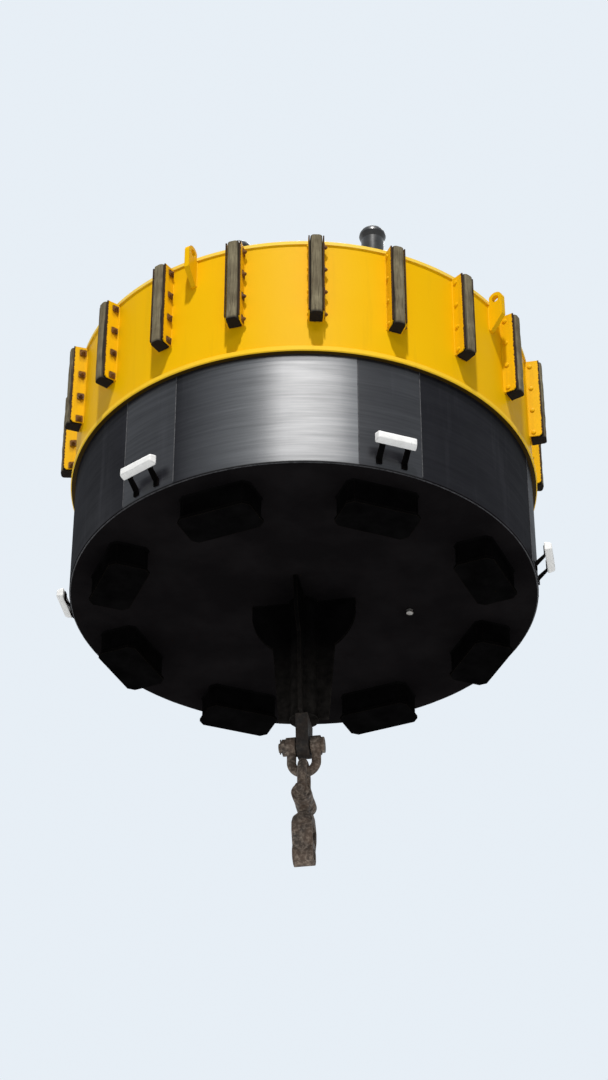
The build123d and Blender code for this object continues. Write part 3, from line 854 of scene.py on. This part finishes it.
# %% Timber batten
fender_count = 19
first_fender_bearing = 4.3
fender_back = 0.012
strip_proud = 0.022
strip_width = 0.098
strip_low, strip_high = foot_of("fender_strips"), top_of("fender_strips")
strip_round = 0.032
end_round = 0.004
dented_from = 0.03  # how deep the back edge is that stays straight in its channel
dent_depth = 0.008
strip_in = band_radius + fender_back
strip_out = band_radius + fender_depth + strip_proud

uneven = bpy.data.textures.new("uneven", type="CLOUDS")
uneven.noise_scale = 0.09
uneven.noise_depth = 3

batten = cube((strip_in, -strip_width / 2, strip_low), (strip_out, strip_width / 2, strip_high))
bevel_edges(batten, lambda e: abs(span(e).z) > 0.5 and middle(e).x > strip_in + 0.05, strip_round, 6)
bevel_edges(batten, lambda e: abs(span(e).z) < 0.001 and middle(e).x > strip_in + 0.001, end_round, 2)
cut_across(batten, 44, 0.5)
edit(batten, "VERT")
pick(batten, "VERT", lambda v: v.co.x > strip_in + dented_from)
bpy.ops.object.vertex_group_assign_new()
leave()
dents = {"strength": dent_depth, "mid_level": 1.0, "vertex_group": batten.vertex_groups[0].name}
apply(batten, "DISPLACE", texture=uneven, texture_coords="LOCAL", **dents)
print("batten points", len(batten.data.vertices))

# %% [markdown]
# The sun cracks are cut with Boolean modifiers. The tool for each is a thin wedge with a sharp inner
# edge, which starts as a block whose inner face is scaled down. A bump in the material could draw
# them too, but only a real cut holds its shadow from every side.

# %% Sun cracks
crack_table = (  # side, middle height, length, width, depth
    (0.013, 0.480, 0.150, 0.0045, 0.022),
    (-0.022, 0.690, 0.210, 0.0040, 0.024),
    (0.024, 0.880, 0.120, 0.0035, 0.022),
    (-0.010, 0.330, 0.070, 0.0050, 0.022),
    (0.004, 0.985, 0.110, 0.0045, 0.022),
)
past_face = 0.02
wedge_taper = (1, 0.1, 0.55)
for side, height, length, width, depth in crack_table:
    inner = strip_out - depth
    wedge_low = (inner, side - width / 2, height - length / 2)
    wedge_high = (strip_out + past_face, side + width / 2, height + length / 2)
    wedge = cube(wedge_low, wedge_high)
    resize_faces(wedge, lambda f: f.normal.x < -0.9, wedge_taper, (inner, side, height))
    apply(batten, "BOOLEAN", operation="DIFFERENCE", solver="EXACT", object=wedge)
    bpy.data.objects.remove(wedge)
print("batten faces after cutting", len(batten.data.polygons))

# %% [markdown]
# The grain and the painted shade on the flanks belong to each batten by itself, whatever way it
# faces. Coordinates of the whole ring could serve for the grain, but they don't tell how far a point
# is from its own batten's middle line. So every copy carries that as one attribute and its own
# coordinates as another, with a shift that makes no two battens alike.

# %% Battens in their channels
grain_shift = Vector((0.37, 0.53, 0.91))
fender_bearings = [first_fender_bearing + 360 * i / fender_count for i in range(fender_count)]
battens = []
for number, bearing in enumerate(fender_bearings):
    twin = twin_of(batten)
    twin.data.attributes.new("grain_place", "FLOAT_VECTOR", "POINT")
    flank = twin.data.attributes.new("from_middle", "FLOAT", "POINT")
    shift = grain_shift * number
    for i, point in enumerate(twin.data.vertices):
        twin.data.attributes["grain_place"].data[i].vector = point.co + shift
        flank.data[i].value = point.co.y
    twin.matrix_world = at_bearing(bearing)
    battens.append(twin)
bpy.data.objects.remove(batten)
fender_battens = together("fender_battens", battens)
print("battens", len(battens))

# %% [markdown]
# The timber is silvery brown on its face. The rounded flanks, the cracks and the foot are painted
# dark as painted shade, placed by the distance to the hull's axis, the one to the middle line and the
# height. The grain is noise drawn out thirty times along the batten. A picture of wood could be laid
# on, but it would have to be fitted to every face, and would repeat.

# %% Weathered timber
face_depth = (0.034, 0.018)  # under the face, where it turns from dark to silvery
face_half = (0.045, 0.037)  # from the middle line, where the face ends and where it is whole
shaded_foot = (0.004, 0.03)


def timber(face_in, face_out):
    """Silvery brown face, painted shade on the flanks, in the cracks and at the foot, grain upright."""
    material, tree, shader = new_material("timber_with_painted_shade", roughness=0.85, specular=0.15)
    own = add(tree, "ShaderNodeAttribute", attribute_name="grain_place").outputs["Vector"]
    tall = add(tree, "ShaderNodeMapping", {"Vector": own, "Scale": (1.0, 1.0, 0.035)}).outputs["Vector"]
    fine = noise(tree, tall, 170.0, 6.0)
    coarse = noise(tree, tall, 45.0, 3.0)
    cloud = noise(tree, own, 6.0, 4.0)
    silver = mix(tree, ramp(tree, cloud, 0.35, 0.7), (0.225, 0.195, 0.122), (0.122, 0.099, 0.06))
    lined = mix(tree, ramp(tree, fine, 0.45, 0.7), silver, (0.072, 0.056, 0.034))
    out = ramp(tree, where(tree, "Radius"), face_in, face_out)
    from_middle = add(tree, "ShaderNodeAttribute", attribute_name="from_middle").outputs["Fac"]
    flank = math_node(tree, "ABSOLUTE", from_middle)
    ragged = math_node(tree, "ADD", flank, ramp(tree, coarse, 0.3, 0.7, -0.006, 0.006))
    face = times(tree, out, ramp(tree, ragged, *face_half))
    # Flanks and cracks are painted near black as painted shade.
    face_and_shade = mix(tree, face, (0.02, 0.016, 0.012), lined)
    # The foot is painted darker still, as painted shade.
    foot = ramp(tree, where(tree, "Height"), strip_low + shaded_foot[0], strip_low + shaded_foot[1])
    paint(tree, shader, mix(tree, foot, (0.01, 0.008, 0.007), face_and_shade))
    relief(tree, shader, math_node(tree, "ADD", fine, times(tree, coarse, 0.7)), 0.6, 0.004)
    return material


timber_with_painted_shade = timber(strip_out - face_depth[0], strip_out - face_depth[1])
hand_over(fender_battens, timber_with_painted_shade, "hull", 50)
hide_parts("fender_strips")

# %% [markdown]
# A bolt is a six-sided rod with a chamfered top over a thin round washer, with a stub of thread on
# top where it has a nut. It is modelled once for each size and then set wherever the buoy has one.
# The turns of the thread could be modelled too, but at this size they would only cost faces.

# %% Bolts
def bolt(size, stub=0.0):
    """A hexagon of the given radius on a washer, standing on the origin."""
    head_height = size * 0.72
    washer_height = size * 0.22
    top = washer_height + head_height
    head = rod(size, head_height, 6, (0, 0, washer_height))
    bevel_top(head, top, size * 0.14)
    washer = rod(size * 1.32, washer_height, 14)
    bevel_top(washer, washer_height, size * 0.07)
    parts = [head, washer]
    if stub:
        thread = rod(size * 0.5, stub, 8, (0, 0, top))
        bevel_top(thread, top + stub, size * 0.1)
        parts.append(thread)
    return together("bolt", parts)


# %% [markdown]
# The timbers are held by four bolts that go right through each channel, close to the band. On one
# side they end in a nut on a rusty square plate, on the other in a low round head that has been
# painted over. A plate starts as a block whose outer face is inset twice and then pressed in. One
# inset could make the dish, but the second one leaves a flat border round it.

# %% Tie plates, nuts and heads
cheek_y = 0.060
plate_half = 0.027
plate_thickness = 0.007
plate_sunk = 0.001
plate_border = 0.003
plate_dish = 0.0015
nut_size = 0.016
tie_head_radius, tie_head_height = 0.019, 0.008

plate_low = (tie_radius - plate_half, cheek_y - plate_sunk, -plate_half)
plate_high = (tie_radius + plate_half, cheek_y + plate_thickness, plate_half)
tie_plate = cube(plate_low, plate_high)
bevel_edges(tie_plate, lambda e: abs(span(e).y) > 0.001, 0.006)
edit(tie_plate)
pick(tie_plate, "FACE", lambda f: f.normal.y > 0.9)
bpy.ops.mesh.inset(thickness=plate_border)
bpy.ops.mesh.inset(thickness=plate_border)
bpy.ops.transform.translate(value=(0, -plate_dish, 0))
leave()
tie_places = [at_bearing(bearing, (0, 0, height)) for bearing in fender_bearings for height in tie_heights]
nut_seat = facing((0, 1, 0), (tie_radius, cheek_y + plate_thickness - plate_dish, 0))
nuts = copies("tie_nuts", bolt(nut_size, stub=0.007), [place @ nut_seat for place in tie_places])
tie_plates = together("tie_plates", [copies("plates", tie_plate, tie_places), nuts])
hand_over(tie_plates, bolt_rust, "hull", 30)

tie_head = rod(tie_head_radius, tie_head_height, 16)
bevel_top(tie_head, tie_head_height, 0.005, 2)
head_seat = facing((0, -1, 0), (tie_radius, -cheek_y, 0))
tie_heads = copies("tie_heads", tie_head, [place @ head_seat for place in tie_places])
hand_over(tie_heads, fender_yellow, "hull", 40)

# %% [markdown]
# Wherever two plates meet there is a weld bead. A straight bead is a thin rod with many rings along
# its length, a round one is a torus, and the Displace modifier with a fine cloud texture makes both
# lumpy. Half of each bead is sunk into the steel, so that only the visible half stands out. A curve
# with a round bevel could follow any seam, but all the seams here are straight or round.

# %% Weld beads
ripple = bpy.data.textures.new("ripple", type="CLOUDS")
ripple.noise_scale = 0.014


def bead(length, size, cuts):
    """A bead that stands on the origin along +Z."""
    made = rod(size, length, 8)
    cut_across(made, cuts, length / 2)
    apply(made, "DISPLACE", texture=ripple, texture_coords="LOCAL", strength=size * 0.7, mid_level=0.5)
    return made


def torus(radius, size, sections, height=0.0):
    clear_selection()
    bpy.ops.mesh.primitive_torus_add(
        major_radius=radius, minor_radius=size, major_segments=sections, minor_segments=8,
        location=(0, 0, height),
    )
    return bpy.context.object


def ring_bead(radius, height, size, sections):
    made = torus(radius, size, sections, height)
    bpy.ops.object.transform_apply(location=True, rotation=True, scale=True)
    apply(made, "DISPLACE", texture=ripple, texture_coords="LOCAL", strength=size * 0.6, mid_level=0.5)
    return made


# %% [markdown]
# On the yellow band, each fender has a bead down either side and each lifting lug too, and two long
# rings close the band against its lip and its rim. They wear the band's own paint. Each bead could be
# an object of its own, but joined they are one piece that gets its finish and its body once.

# %% Welds of the yellow band
lip_height = top_of("band_lip")
fender_foot = foot_of("fender_brackets")
hull_sections = 260
lug_bearings = (-25.7, 54.3, 146.4, 241.1)
lug_half = 0.020
lug_low, lug_drop = 0.800, 0.245

cheek_places = [
    at_bearing(bearing, (math.sqrt(band_radius**2 - cheek_y**2), side, fender_foot))
    for bearing in fender_bearings
    for side in (-cheek_y, cheek_y)
]
lug_places = [
    at_bearing(bearing, (band_radius, side, lug_low))
    for bearing in lug_bearings
    for side in (-lug_half, lug_half)
]
band_welds = together(
    "band_welds",
    [
        copies("cheek_beads", bead(freeboard - fender_foot, 0.005, 44), cheek_places),
        copies("lug_beads", bead(lug_drop, 0.006, 22), lug_places),
        ring_bead(band_radius, lip_height, 0.006, hull_sections),
        ring_bead(band_radius, freeboard, 0.006, hull_sections),
    ],
)
hand_over(band_welds, band_yellow, "hull", 60)

# %% [markdown]
# The black shell is rolled from plates. Their upright seams show as thin lines, one on either side of
# every anode, and one level seam runs round where the side meets the bottom. Lines in the paint
# could draw them, but a bead catches the light.

# %% Seams of the black shell
seam_low = -hull_draft + 0.03
corner_drop = 0.010
anode_bearings = [first_anode_bearing + 360 * i / anode_count for i in range(anode_count)]
seam_places = [
    at_bearing(bearing + side, (hull_radius - 0.001, 0, seam_low))
    for bearing in anode_bearings
    for side in (-seam_spread, seam_spread)
]
shell_seams = together(
    "shell_seams",
    [
        copies("upright_seams", bead(-seam_low, 0.0045, 70), seam_places),
        ring_bead(hull_radius - corner_drop, -hull_draft + corner_drop, 0.005, hull_sections),
    ],
)


def seam_paint():
    """The hull's black, rubbed to grey in places."""
    material, tree, shader = new_material("seam_black", roughness=0.5, specular=0.3)
    rubbed = mask(tree, patches, Scale=30.0, From=0.35, To=0.6)
    paint(tree, shader, mix(tree, rubbed, (0.012, 0.012, 0.014), (0.05, 0.05, 0.055)))
    relief(tree, shader, rubbed, 0.4, 0.002)
    return material


seam_black = seam_paint()
hand_over(shell_seams, seam_black, "hull", 60)

# %% [markdown]
# Each box foot sits in a thick fillet weld against the bottom. The fillet is a low block whose lower
# face is scaled in to the foot's own outline, which gives the sloping collar all round. Four beads
# could go round the foot, but they would leave gaps at its corners.

# %% Fillets round the feet
foot_count = 8
first_foot_bearing = 22.5
foot_depth, foot_breadth = 0.288, 0.548
foot_middle = 1.480
foot_corner = 0.037
fillet = 0.014
fillet_left = 0.002  # how far the fillet still stands out at its lower edge
fillet_sunk = 0.004

wide, broad = foot_depth / 2 + fillet, foot_breadth / 2 + fillet
fillet_bottom = -hull_draft - fillet
collar = cube(
    (foot_middle - wide, -broad, fillet_bottom), (foot_middle + wide, broad, -hull_draft + fillet_sunk)
)
bevel_edges(collar, lambda e: abs(span(e).z) > 0.01, foot_corner + fillet * 0.4)
shrink = (1 - (fillet - fillet_left) / wide, 1 - (fillet - fillet_left) / broad, 1)
resize_faces(collar, lambda f: f.normal.z < -0.9, shrink, (foot_middle, 0, fillet_bottom))
bevel_edges(collar, lambda e: middle(e).z < fillet_bottom + 0.001, 0.004, 2)
foot_places = [at_bearing(first_foot_bearing + 360 * i / foot_count) for i in range(foot_count)]
foot_welds = copies("foot_welds", collar, foot_places)
hand_over(foot_welds, shaded_foot_black, "hull", 40)

# %% [markdown]
# The pedestal's four gussets have beads on both sides, down the tube and out along the bottom, and a
# ring closes the tube against the hull and against the eye plate. The beads could be modelled in
# place, but it is simpler to stand one up at the origin and turn every copy.

# %% Pedestal welds
pedestal_bearing = -8
pedestal_radius = reach_of("pedestal_tube")
pedestal_foot = foot_of("pedestal_tube")
gusset_half = 0.014
gusset_reach = 0.400

gusset_sides = [(pedestal_bearing + 90 * i, side) for i in range(4) for side in (-gusset_half, gusset_half)]
upright = [at_bearing(bearing, (pedestal_radius, side, pedestal_foot)) for bearing, side in gusset_sides]
outward = [
    at_bearing(bearing) @ facing((1, 0, 0), (pedestal_radius, side, -hull_draft))
    for bearing, side in gusset_sides
]
pedestal_welds = together(
    "pedestal_welds",
    [
        copies("tube_beads", bead(-hull_draft - pedestal_foot, 0.008, 90), upright),
        copies("bottom_beads", bead(gusset_reach - pedestal_radius, 0.008, 26), outward),
        ring_bead(pedestal_radius, -hull_draft, 0.009, 48),
        ring_bead(pedestal_radius, pedestal_foot + 0.004, 0.007, 48),
    ],
)
hand_over(pedestal_welds, shaded_gusset_black, "hull", 60)

# %% [markdown]
# The anodes are cast round their straps. Each casting is a block with drafted sides and soft edges,
# and its skin is made uneven by displacing a finely divided surface a little. The plain bar could
# stay, but a casting needs its draft to leave the mould, and the slanting sides catch the light.

# %% Anode castings
anode_z = level_of("anode_bars")
anode_inner = hull_radius + 0.072
anode_outer = anode_inner + 0.058
anode_half_length = 0.160
anode_half_height = 0.043
anode_draft = (1, 0.93, 0.74)
skin_depth = 0.0022

casting = cube(
    (anode_inner, -anode_half_length, -anode_half_height),
    (anode_outer, anode_half_length, anode_half_height),
)
resize_faces(casting, lambda f: f.normal.x > 0.9, anode_draft, (anode_outer, 0, 0))
bevel_edges(casting, lambda e: True, 0.009, 2)
edit(casting)
bpy.ops.mesh.select_all(action="SELECT")
bpy.ops.mesh.subdivide(number_cuts=7)
leave()
apply(casting, "DISPLACE", texture=ripple, texture_coords="LOCAL", strength=skin_depth, mid_level=0.62)
anode_places = [at_bearing(bearing, (0, 0, anode_z)) for bearing in anode_bearings]
castings = copies("anode_castings", casting, anode_places)
hand_over(castings, anode_metal, "hull", 40)
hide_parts("anode_bars")

# %% [markdown]
# The manhole's cover is bolted down all round and has two bow handles. A handle is a small circle
# that is spun half a turn, and then its open ends are pulled down to the cover as legs. Half a torus
# could be the bow too, but spin leaves it open at both ends, ready for the legs.

# %% Manhole bolts and handles
manhole_bearing = 270
manhole_ring = 1.020
cover_bolt_ring = 0.338
cover_bolt_count = 20
cover_bolt_size = 0.0135
cover_top = top_of("manhole_cover")
cover_middle = at_bearing(manhole_bearing, (manhole_ring, 0, cover_top))

cover_places = [
    cover_middle @ at_bearing(360 * (i + 0.5) / cover_bolt_count, (cover_bolt_ring, 0, 0))
    for i in range(cover_bolt_count)
]
cover_bolts = copies("cover_bolts", bolt(cover_bolt_size, stub=0.008), cover_places)
hand_over(cover_bolts, bolt_steel, "hull", 30)

handle_radius = 0.055
handle_bar = 0.009
handle_rise = 0.030
handle_sunk = 0.006
handle_spread = 0.19

clear_selection()
bpy.ops.mesh.primitive_circle_add(vertices=12, radius=handle_bar, location=(handle_radius, 0, handle_rise))
handle = bpy.context.object
bpy.ops.object.transform_apply(location=True, rotation=True, scale=True)
edit(handle, "VERT")
bpy.ops.mesh.select_all(action="SELECT")
bpy.ops.mesh.spin(steps=14, angle=math.radians(180), center=(0, 0, handle_rise), axis=(0, 1, 0))
for side in (-1, 1):
    bpy.ops.mesh.select_all(action="DESELECT")
    pick(handle, "EDGE", lambda e: e.is_boundary and middle(e).x * side > 0)
    bpy.ops.mesh.extrude_region_move(TRANSFORM_OT_translate={"value": (0, 0, -handle_rise - handle_sunk)})
    bpy.ops.mesh.edge_face_add()
bpy.ops.mesh.select_all(action="SELECT")
bpy.ops.mesh.remove_doubles(threshold=0.0001)
bpy.ops.mesh.normals_make_consistent(inside=False)
leave()
handle_heights = [point.co.z for point in handle.data.vertices]
print("handle stands from", round(min(handle_heights), 3), "to", round(max(handle_heights), 3))
across = Matrix.Rotation(math.radians(90), 4, "Z")
handle_places = [
    cover_middle @ Matrix.Translation((side, 0, 0)) @ across
    for side in (-handle_spread, handle_spread)
]
cover_handles = copies("cover_handles", handle, handle_places)
hand_over(cover_handles, gear_black, "hull", 50)

# %% [markdown]
# The deck is welded from six sectors, and the manhole's coaming, the hook's base and the bollards
# stand in weld rings. The deck slopes a little. Away from the axis, a level ring would sink in on
# one side and hang free on the other, so the seams and the rings there tilt with the deck. A
# bollard's post has a ring on its own foot plate too, in the bollard's black.

# %% Deck welds
deck_edge_radius, deck_edge_z = reach_of("deck_plate"), freeboard + 0.016
base_flange_radius, deck_top_z = reach_of("hook_base"), top_of("deck_plate")
slope = math.atan((deck_top_z - deck_edge_z) / (deck_edge_radius - base_flange_radius))
sector_count = 6
coaming_ring = 0.316
bollard_table = ((-20.3, 1.360), (21.9, 1.530), (159.7, 1.360), (201.9, 1.530))
bollard_foot = 0.150
bollard_post = 0.088
bollard_plate = 0.020


def deck_place(bearing, radius):
    """A place on the deck whose Z stands square to the sloping plate."""
    height = deck_edge_z + (deck_edge_radius - radius) * math.tan(slope)
    return at_bearing(bearing, (radius, 0, height)) @ Matrix.Rotation(slope, 4, "Y")


def foot_top(radius):
    return deck_edge_z + (deck_edge_radius - radius) * math.tan(slope) + bollard_plate


outwards = facing((1, 0, 0), (0, 0, 0))
deck_seams = [
    deck_place(360 * i / sector_count, base_flange_radius) @ outwards
    for i in range(sector_count)
]
coaming_places = [deck_place(manhole_bearing, manhole_ring)]
plate_places = [deck_place(bearing, radius) for bearing, radius in bollard_table]
seam_length = (deck_edge_radius - base_flange_radius) / math.cos(slope)
deck_parts = [
    copies("deck_seams", bead(seam_length, 0.005, 90), deck_seams),
    ring_bead(deck_edge_radius, deck_edge_z, 0.006, 220),
    ring_bead(base_flange_radius, deck_top_z, 0.008, 90),
    copies("coaming_bead", ring_bead(coaming_ring, 0, 0.007, 72), coaming_places),
    copies("plate_beads", ring_bead(bollard_foot, 0, 0.006, 40), plate_places),
]
deck_welds = together("deck_welds", deck_parts)
hand_over(deck_welds, deck_yellow, "hull", 60)
post_places = [at_bearing(bearing, (radius, 0, foot_top(radius))) for bearing, radius in bollard_table]
post_welds = copies("post_welds", ring_bead(bollard_post, 0, 0.007, 32), post_places)
hand_over(post_welds, gear_black, "hull", 60)

# %% [markdown]
# The hook's base is bolted down between its ribs, and its turntable has six smaller screws. All could
# be one piece, but the turntable's screws have to turn with it, so they ride on that body.

# %% Bolts of the hook's base and turntable
hook_bearing = 62
base_bolt_count = 16
base_bolt_ring = 0.368
base_flange_top = foot_of("hook_base_ribs")
base_step = 360 / base_bolt_count
base_places = [
    at_bearing(hook_bearing + base_step * (i + 0.5), (base_bolt_ring, 0, base_flange_top))
    for i in range(base_bolt_count)
]
base_bolts = copies("base_bolts", bolt(0.020, stub=0.012), base_places)
hand_over(base_bolts, bolt_steel, "hull", 30)

screw_ring = 0.255
screw_angles = (55, 90, 125, 235, 270, 305)  # clear of the cheeks
turntable_top = top_of("hook_turntable")
screw_places = [at_bearing(hook_bearing + angle, (screw_ring, 0, turntable_top)) for angle in screw_angles]
table_screws = copies("table_screws", bolt(0.016), screw_places)
hand_over(table_screws, bolt_steel, "turntable", 30)

# %% [markdown]
# The pins stick out of the cheeks. A collar and a split pin through each end keep them from walking
# out. The collar is a rod whose end is inset and pushed in, and the split pin is a thin rod with an
# eye on one end. A Boolean could bore the collar through, but the pin fills it, so a dish round the
# pin is enough.

# %% Collars and split pins
def collar_ring(inner, outer, thickness, sides=32):
    """A flat ring that stands on the origin, with its bore dished round the pin."""
    chamfer = thickness * 0.2
    made = rod(outer, thickness, sides)
    bevel_top(made, thickness, chamfer)
    edit(made)
    pick(made, "FACE", lambda f: f.normal.z > 0.9 and len(f.verts) == sides)
    bpy.ops.mesh.inset(thickness=outer - inner - chamfer)
    bpy.ops.transform.translate(value=(0, 0, -thickness * 0.4))
    leave()
    return made


def split_pin(length, size):
    """A thin round pin along X through the origin, with an eye at one end."""
    shank = rod(size, length, 8)
    bevel_top(shank, length, size * 0.4)
    shank.matrix_world = facing((1, 0, 0), (-length / 2, 0, 0))
    eye = torus(size * 2, size * 0.8, 16)
    eye.matrix_world = Matrix.Translation((-length / 2 - size * 1.6, 0, 0))
    return together("split_pin", [shank, eye])


cheek_outside = 0.106
collar_width, collar_thickness = 0.016, 0.010
split_size = 0.0032
split_overhang = 0.012
split_tilt = Matrix.Rotation(math.radians(-50), 4, "Y")
release_x = -0.175
keeper_table = (  # along the cheek, height, pin radius, how far the pin sticks out
    (0.235, level_of("hook_pin"), 0.035, 0.030),
    (release_x, level_of("release_pin"), 0.025, 0.025),
)
keepers = []
for x, z, radius, overhang in keeper_table:
    for side in (-1, 1):
        ring = collar_ring(radius, radius + collar_width, collar_thickness)
        ring.matrix_world = at_bearing(hook_bearing) @ facing((0, side, 0), (x, side * cheek_outside, z))
        pin = split_pin(2 * (radius + split_overhang), split_size)
        pin_y = side * (cheek_outside + overhang - collar_thickness)
        pin.matrix_world = at_bearing(hook_bearing, (x, pin_y, z)) @ split_tilt
        keepers += [ring, pin]
pin_keepers = together("pin_keepers", keepers)
hand_over(pin_keepers, bolt_steel, "turntable", 35)

# %% [markdown]
# The lever's grip has a ribbed rubber sleeve. It is a rod cut across into short lengths, and every
# second length is fattened, which leaves the ribs. A bump could draw them, but the outline of the
# grip would stay smooth.

# %% Grip sleeve
release_place = Vector((release_x, 0, level_of("release_pin")))
lever_rise = math.radians(150)
lever_length = 0.300
sleeve_low, sleeve_high = 0.014, 0.162
sleeve_radius = 0.0225
sleeve_cuts = 17
rib_height = 0.0022

sleeve_length = sleeve_high - sleeve_low
sleeve = rod(sleeve_radius, sleeve_length, 24)
cut_across(sleeve, sleeve_cuts, sleeve_length / 2)
rib_step = sleeve_length / (sleeve_cuts + 1)


def on_rib(face):
    return abs(face.normal.z) < 0.1 and int(face.calc_center_median().z / rib_step) % 2 == 1


edit(sleeve)
ribs = pick(sleeve, "FACE", on_rib)
bpy.ops.mesh.extrude_region_shrink_fatten(TRANSFORM_OT_shrink_fatten={"value": rib_height})
leave()
bevel_edges(sleeve, lambda e: abs(middle(e).z - sleeve_length / 2) > sleeve_length / 2 - 1e-4, 0.002, 2)
lever_way = Vector((math.cos(lever_rise), 0, math.sin(lever_rise)))
sleeve_place = release_place + lever_way * (lever_length + sleeve_low)
sleeve.matrix_world = at_bearing(hook_bearing) @ facing(lever_way, sleeve_place)
grip_sleeve = together("grip_sleeve", [sleeve])


def rubber():
    material, tree, shader = new_material("grip_rubber", roughness=0.75, specular=0.3)
    cloud = mask(tree, patches, Scale=40.0, From=0.35, To=0.7)
    colour = mix(tree, cloud, (0.012, 0.012, 0.012), (0.03, 0.029, 0.028))
    paint(tree, shader, colour, ramp(tree, cloud, 0, 1, 0.65, 0.85))
    relief(tree, shader, cloud, 0.2, 0.001)
    return material


grip_rubber = rubber()
hand_over(grip_sleeve, grip_rubber, "release_lever", 40)
print("rib faces", ribs)

# %% [markdown]
# Each shackle's pin ends in a stub of thread beyond its nut, with a split pin through it, so that the
# nut can't work loose under water. The bolt helper could make it, but the nut is there already, so a
# chamfered rod is enough.

# %% Shackle pin ends
nut_face = 0.162
stub_length = 0.026
stub_radius = 0.036
split_out = 0.014  # from the nut's face to the split pin
stub_split_size, stub_split_overhang = 0.0048, 0.017
shackle_table = (  # name, turn about Z, body that it rides on, whose pin has the body's name
    ("upper_pin_end", pedestal_bearing, "upper_shackle"),
    ("lower_pin_end", pedestal_bearing + 90, "lower_shackle"),
)
for name, turn, body in shackle_table:
    stub = rod(stub_radius, stub_length, 24)
    bevel_top(stub, stub_length, 0.004, 2)
    pin_middle = Matrix.Translation((0, 0, level_of(f"{body}_pin")))
    seat = Matrix.Rotation(math.radians(turn), 4, "Z") @ pin_middle
    stub.matrix_world = seat @ facing((-1, 0, 0), (-nut_face, 0, 0))
    pin = split_pin(2 * (stub_radius + stub_split_overhang), stub_split_size)
    upright_pin = Matrix.Rotation(math.radians(90), 4, "Y")
    pin.matrix_world = seat @ Matrix.Translation((-nut_face - split_out, 0, 0)) @ upright_pin
    hand_over(together(name, [stub, pin]), forged_rust, body, 40)
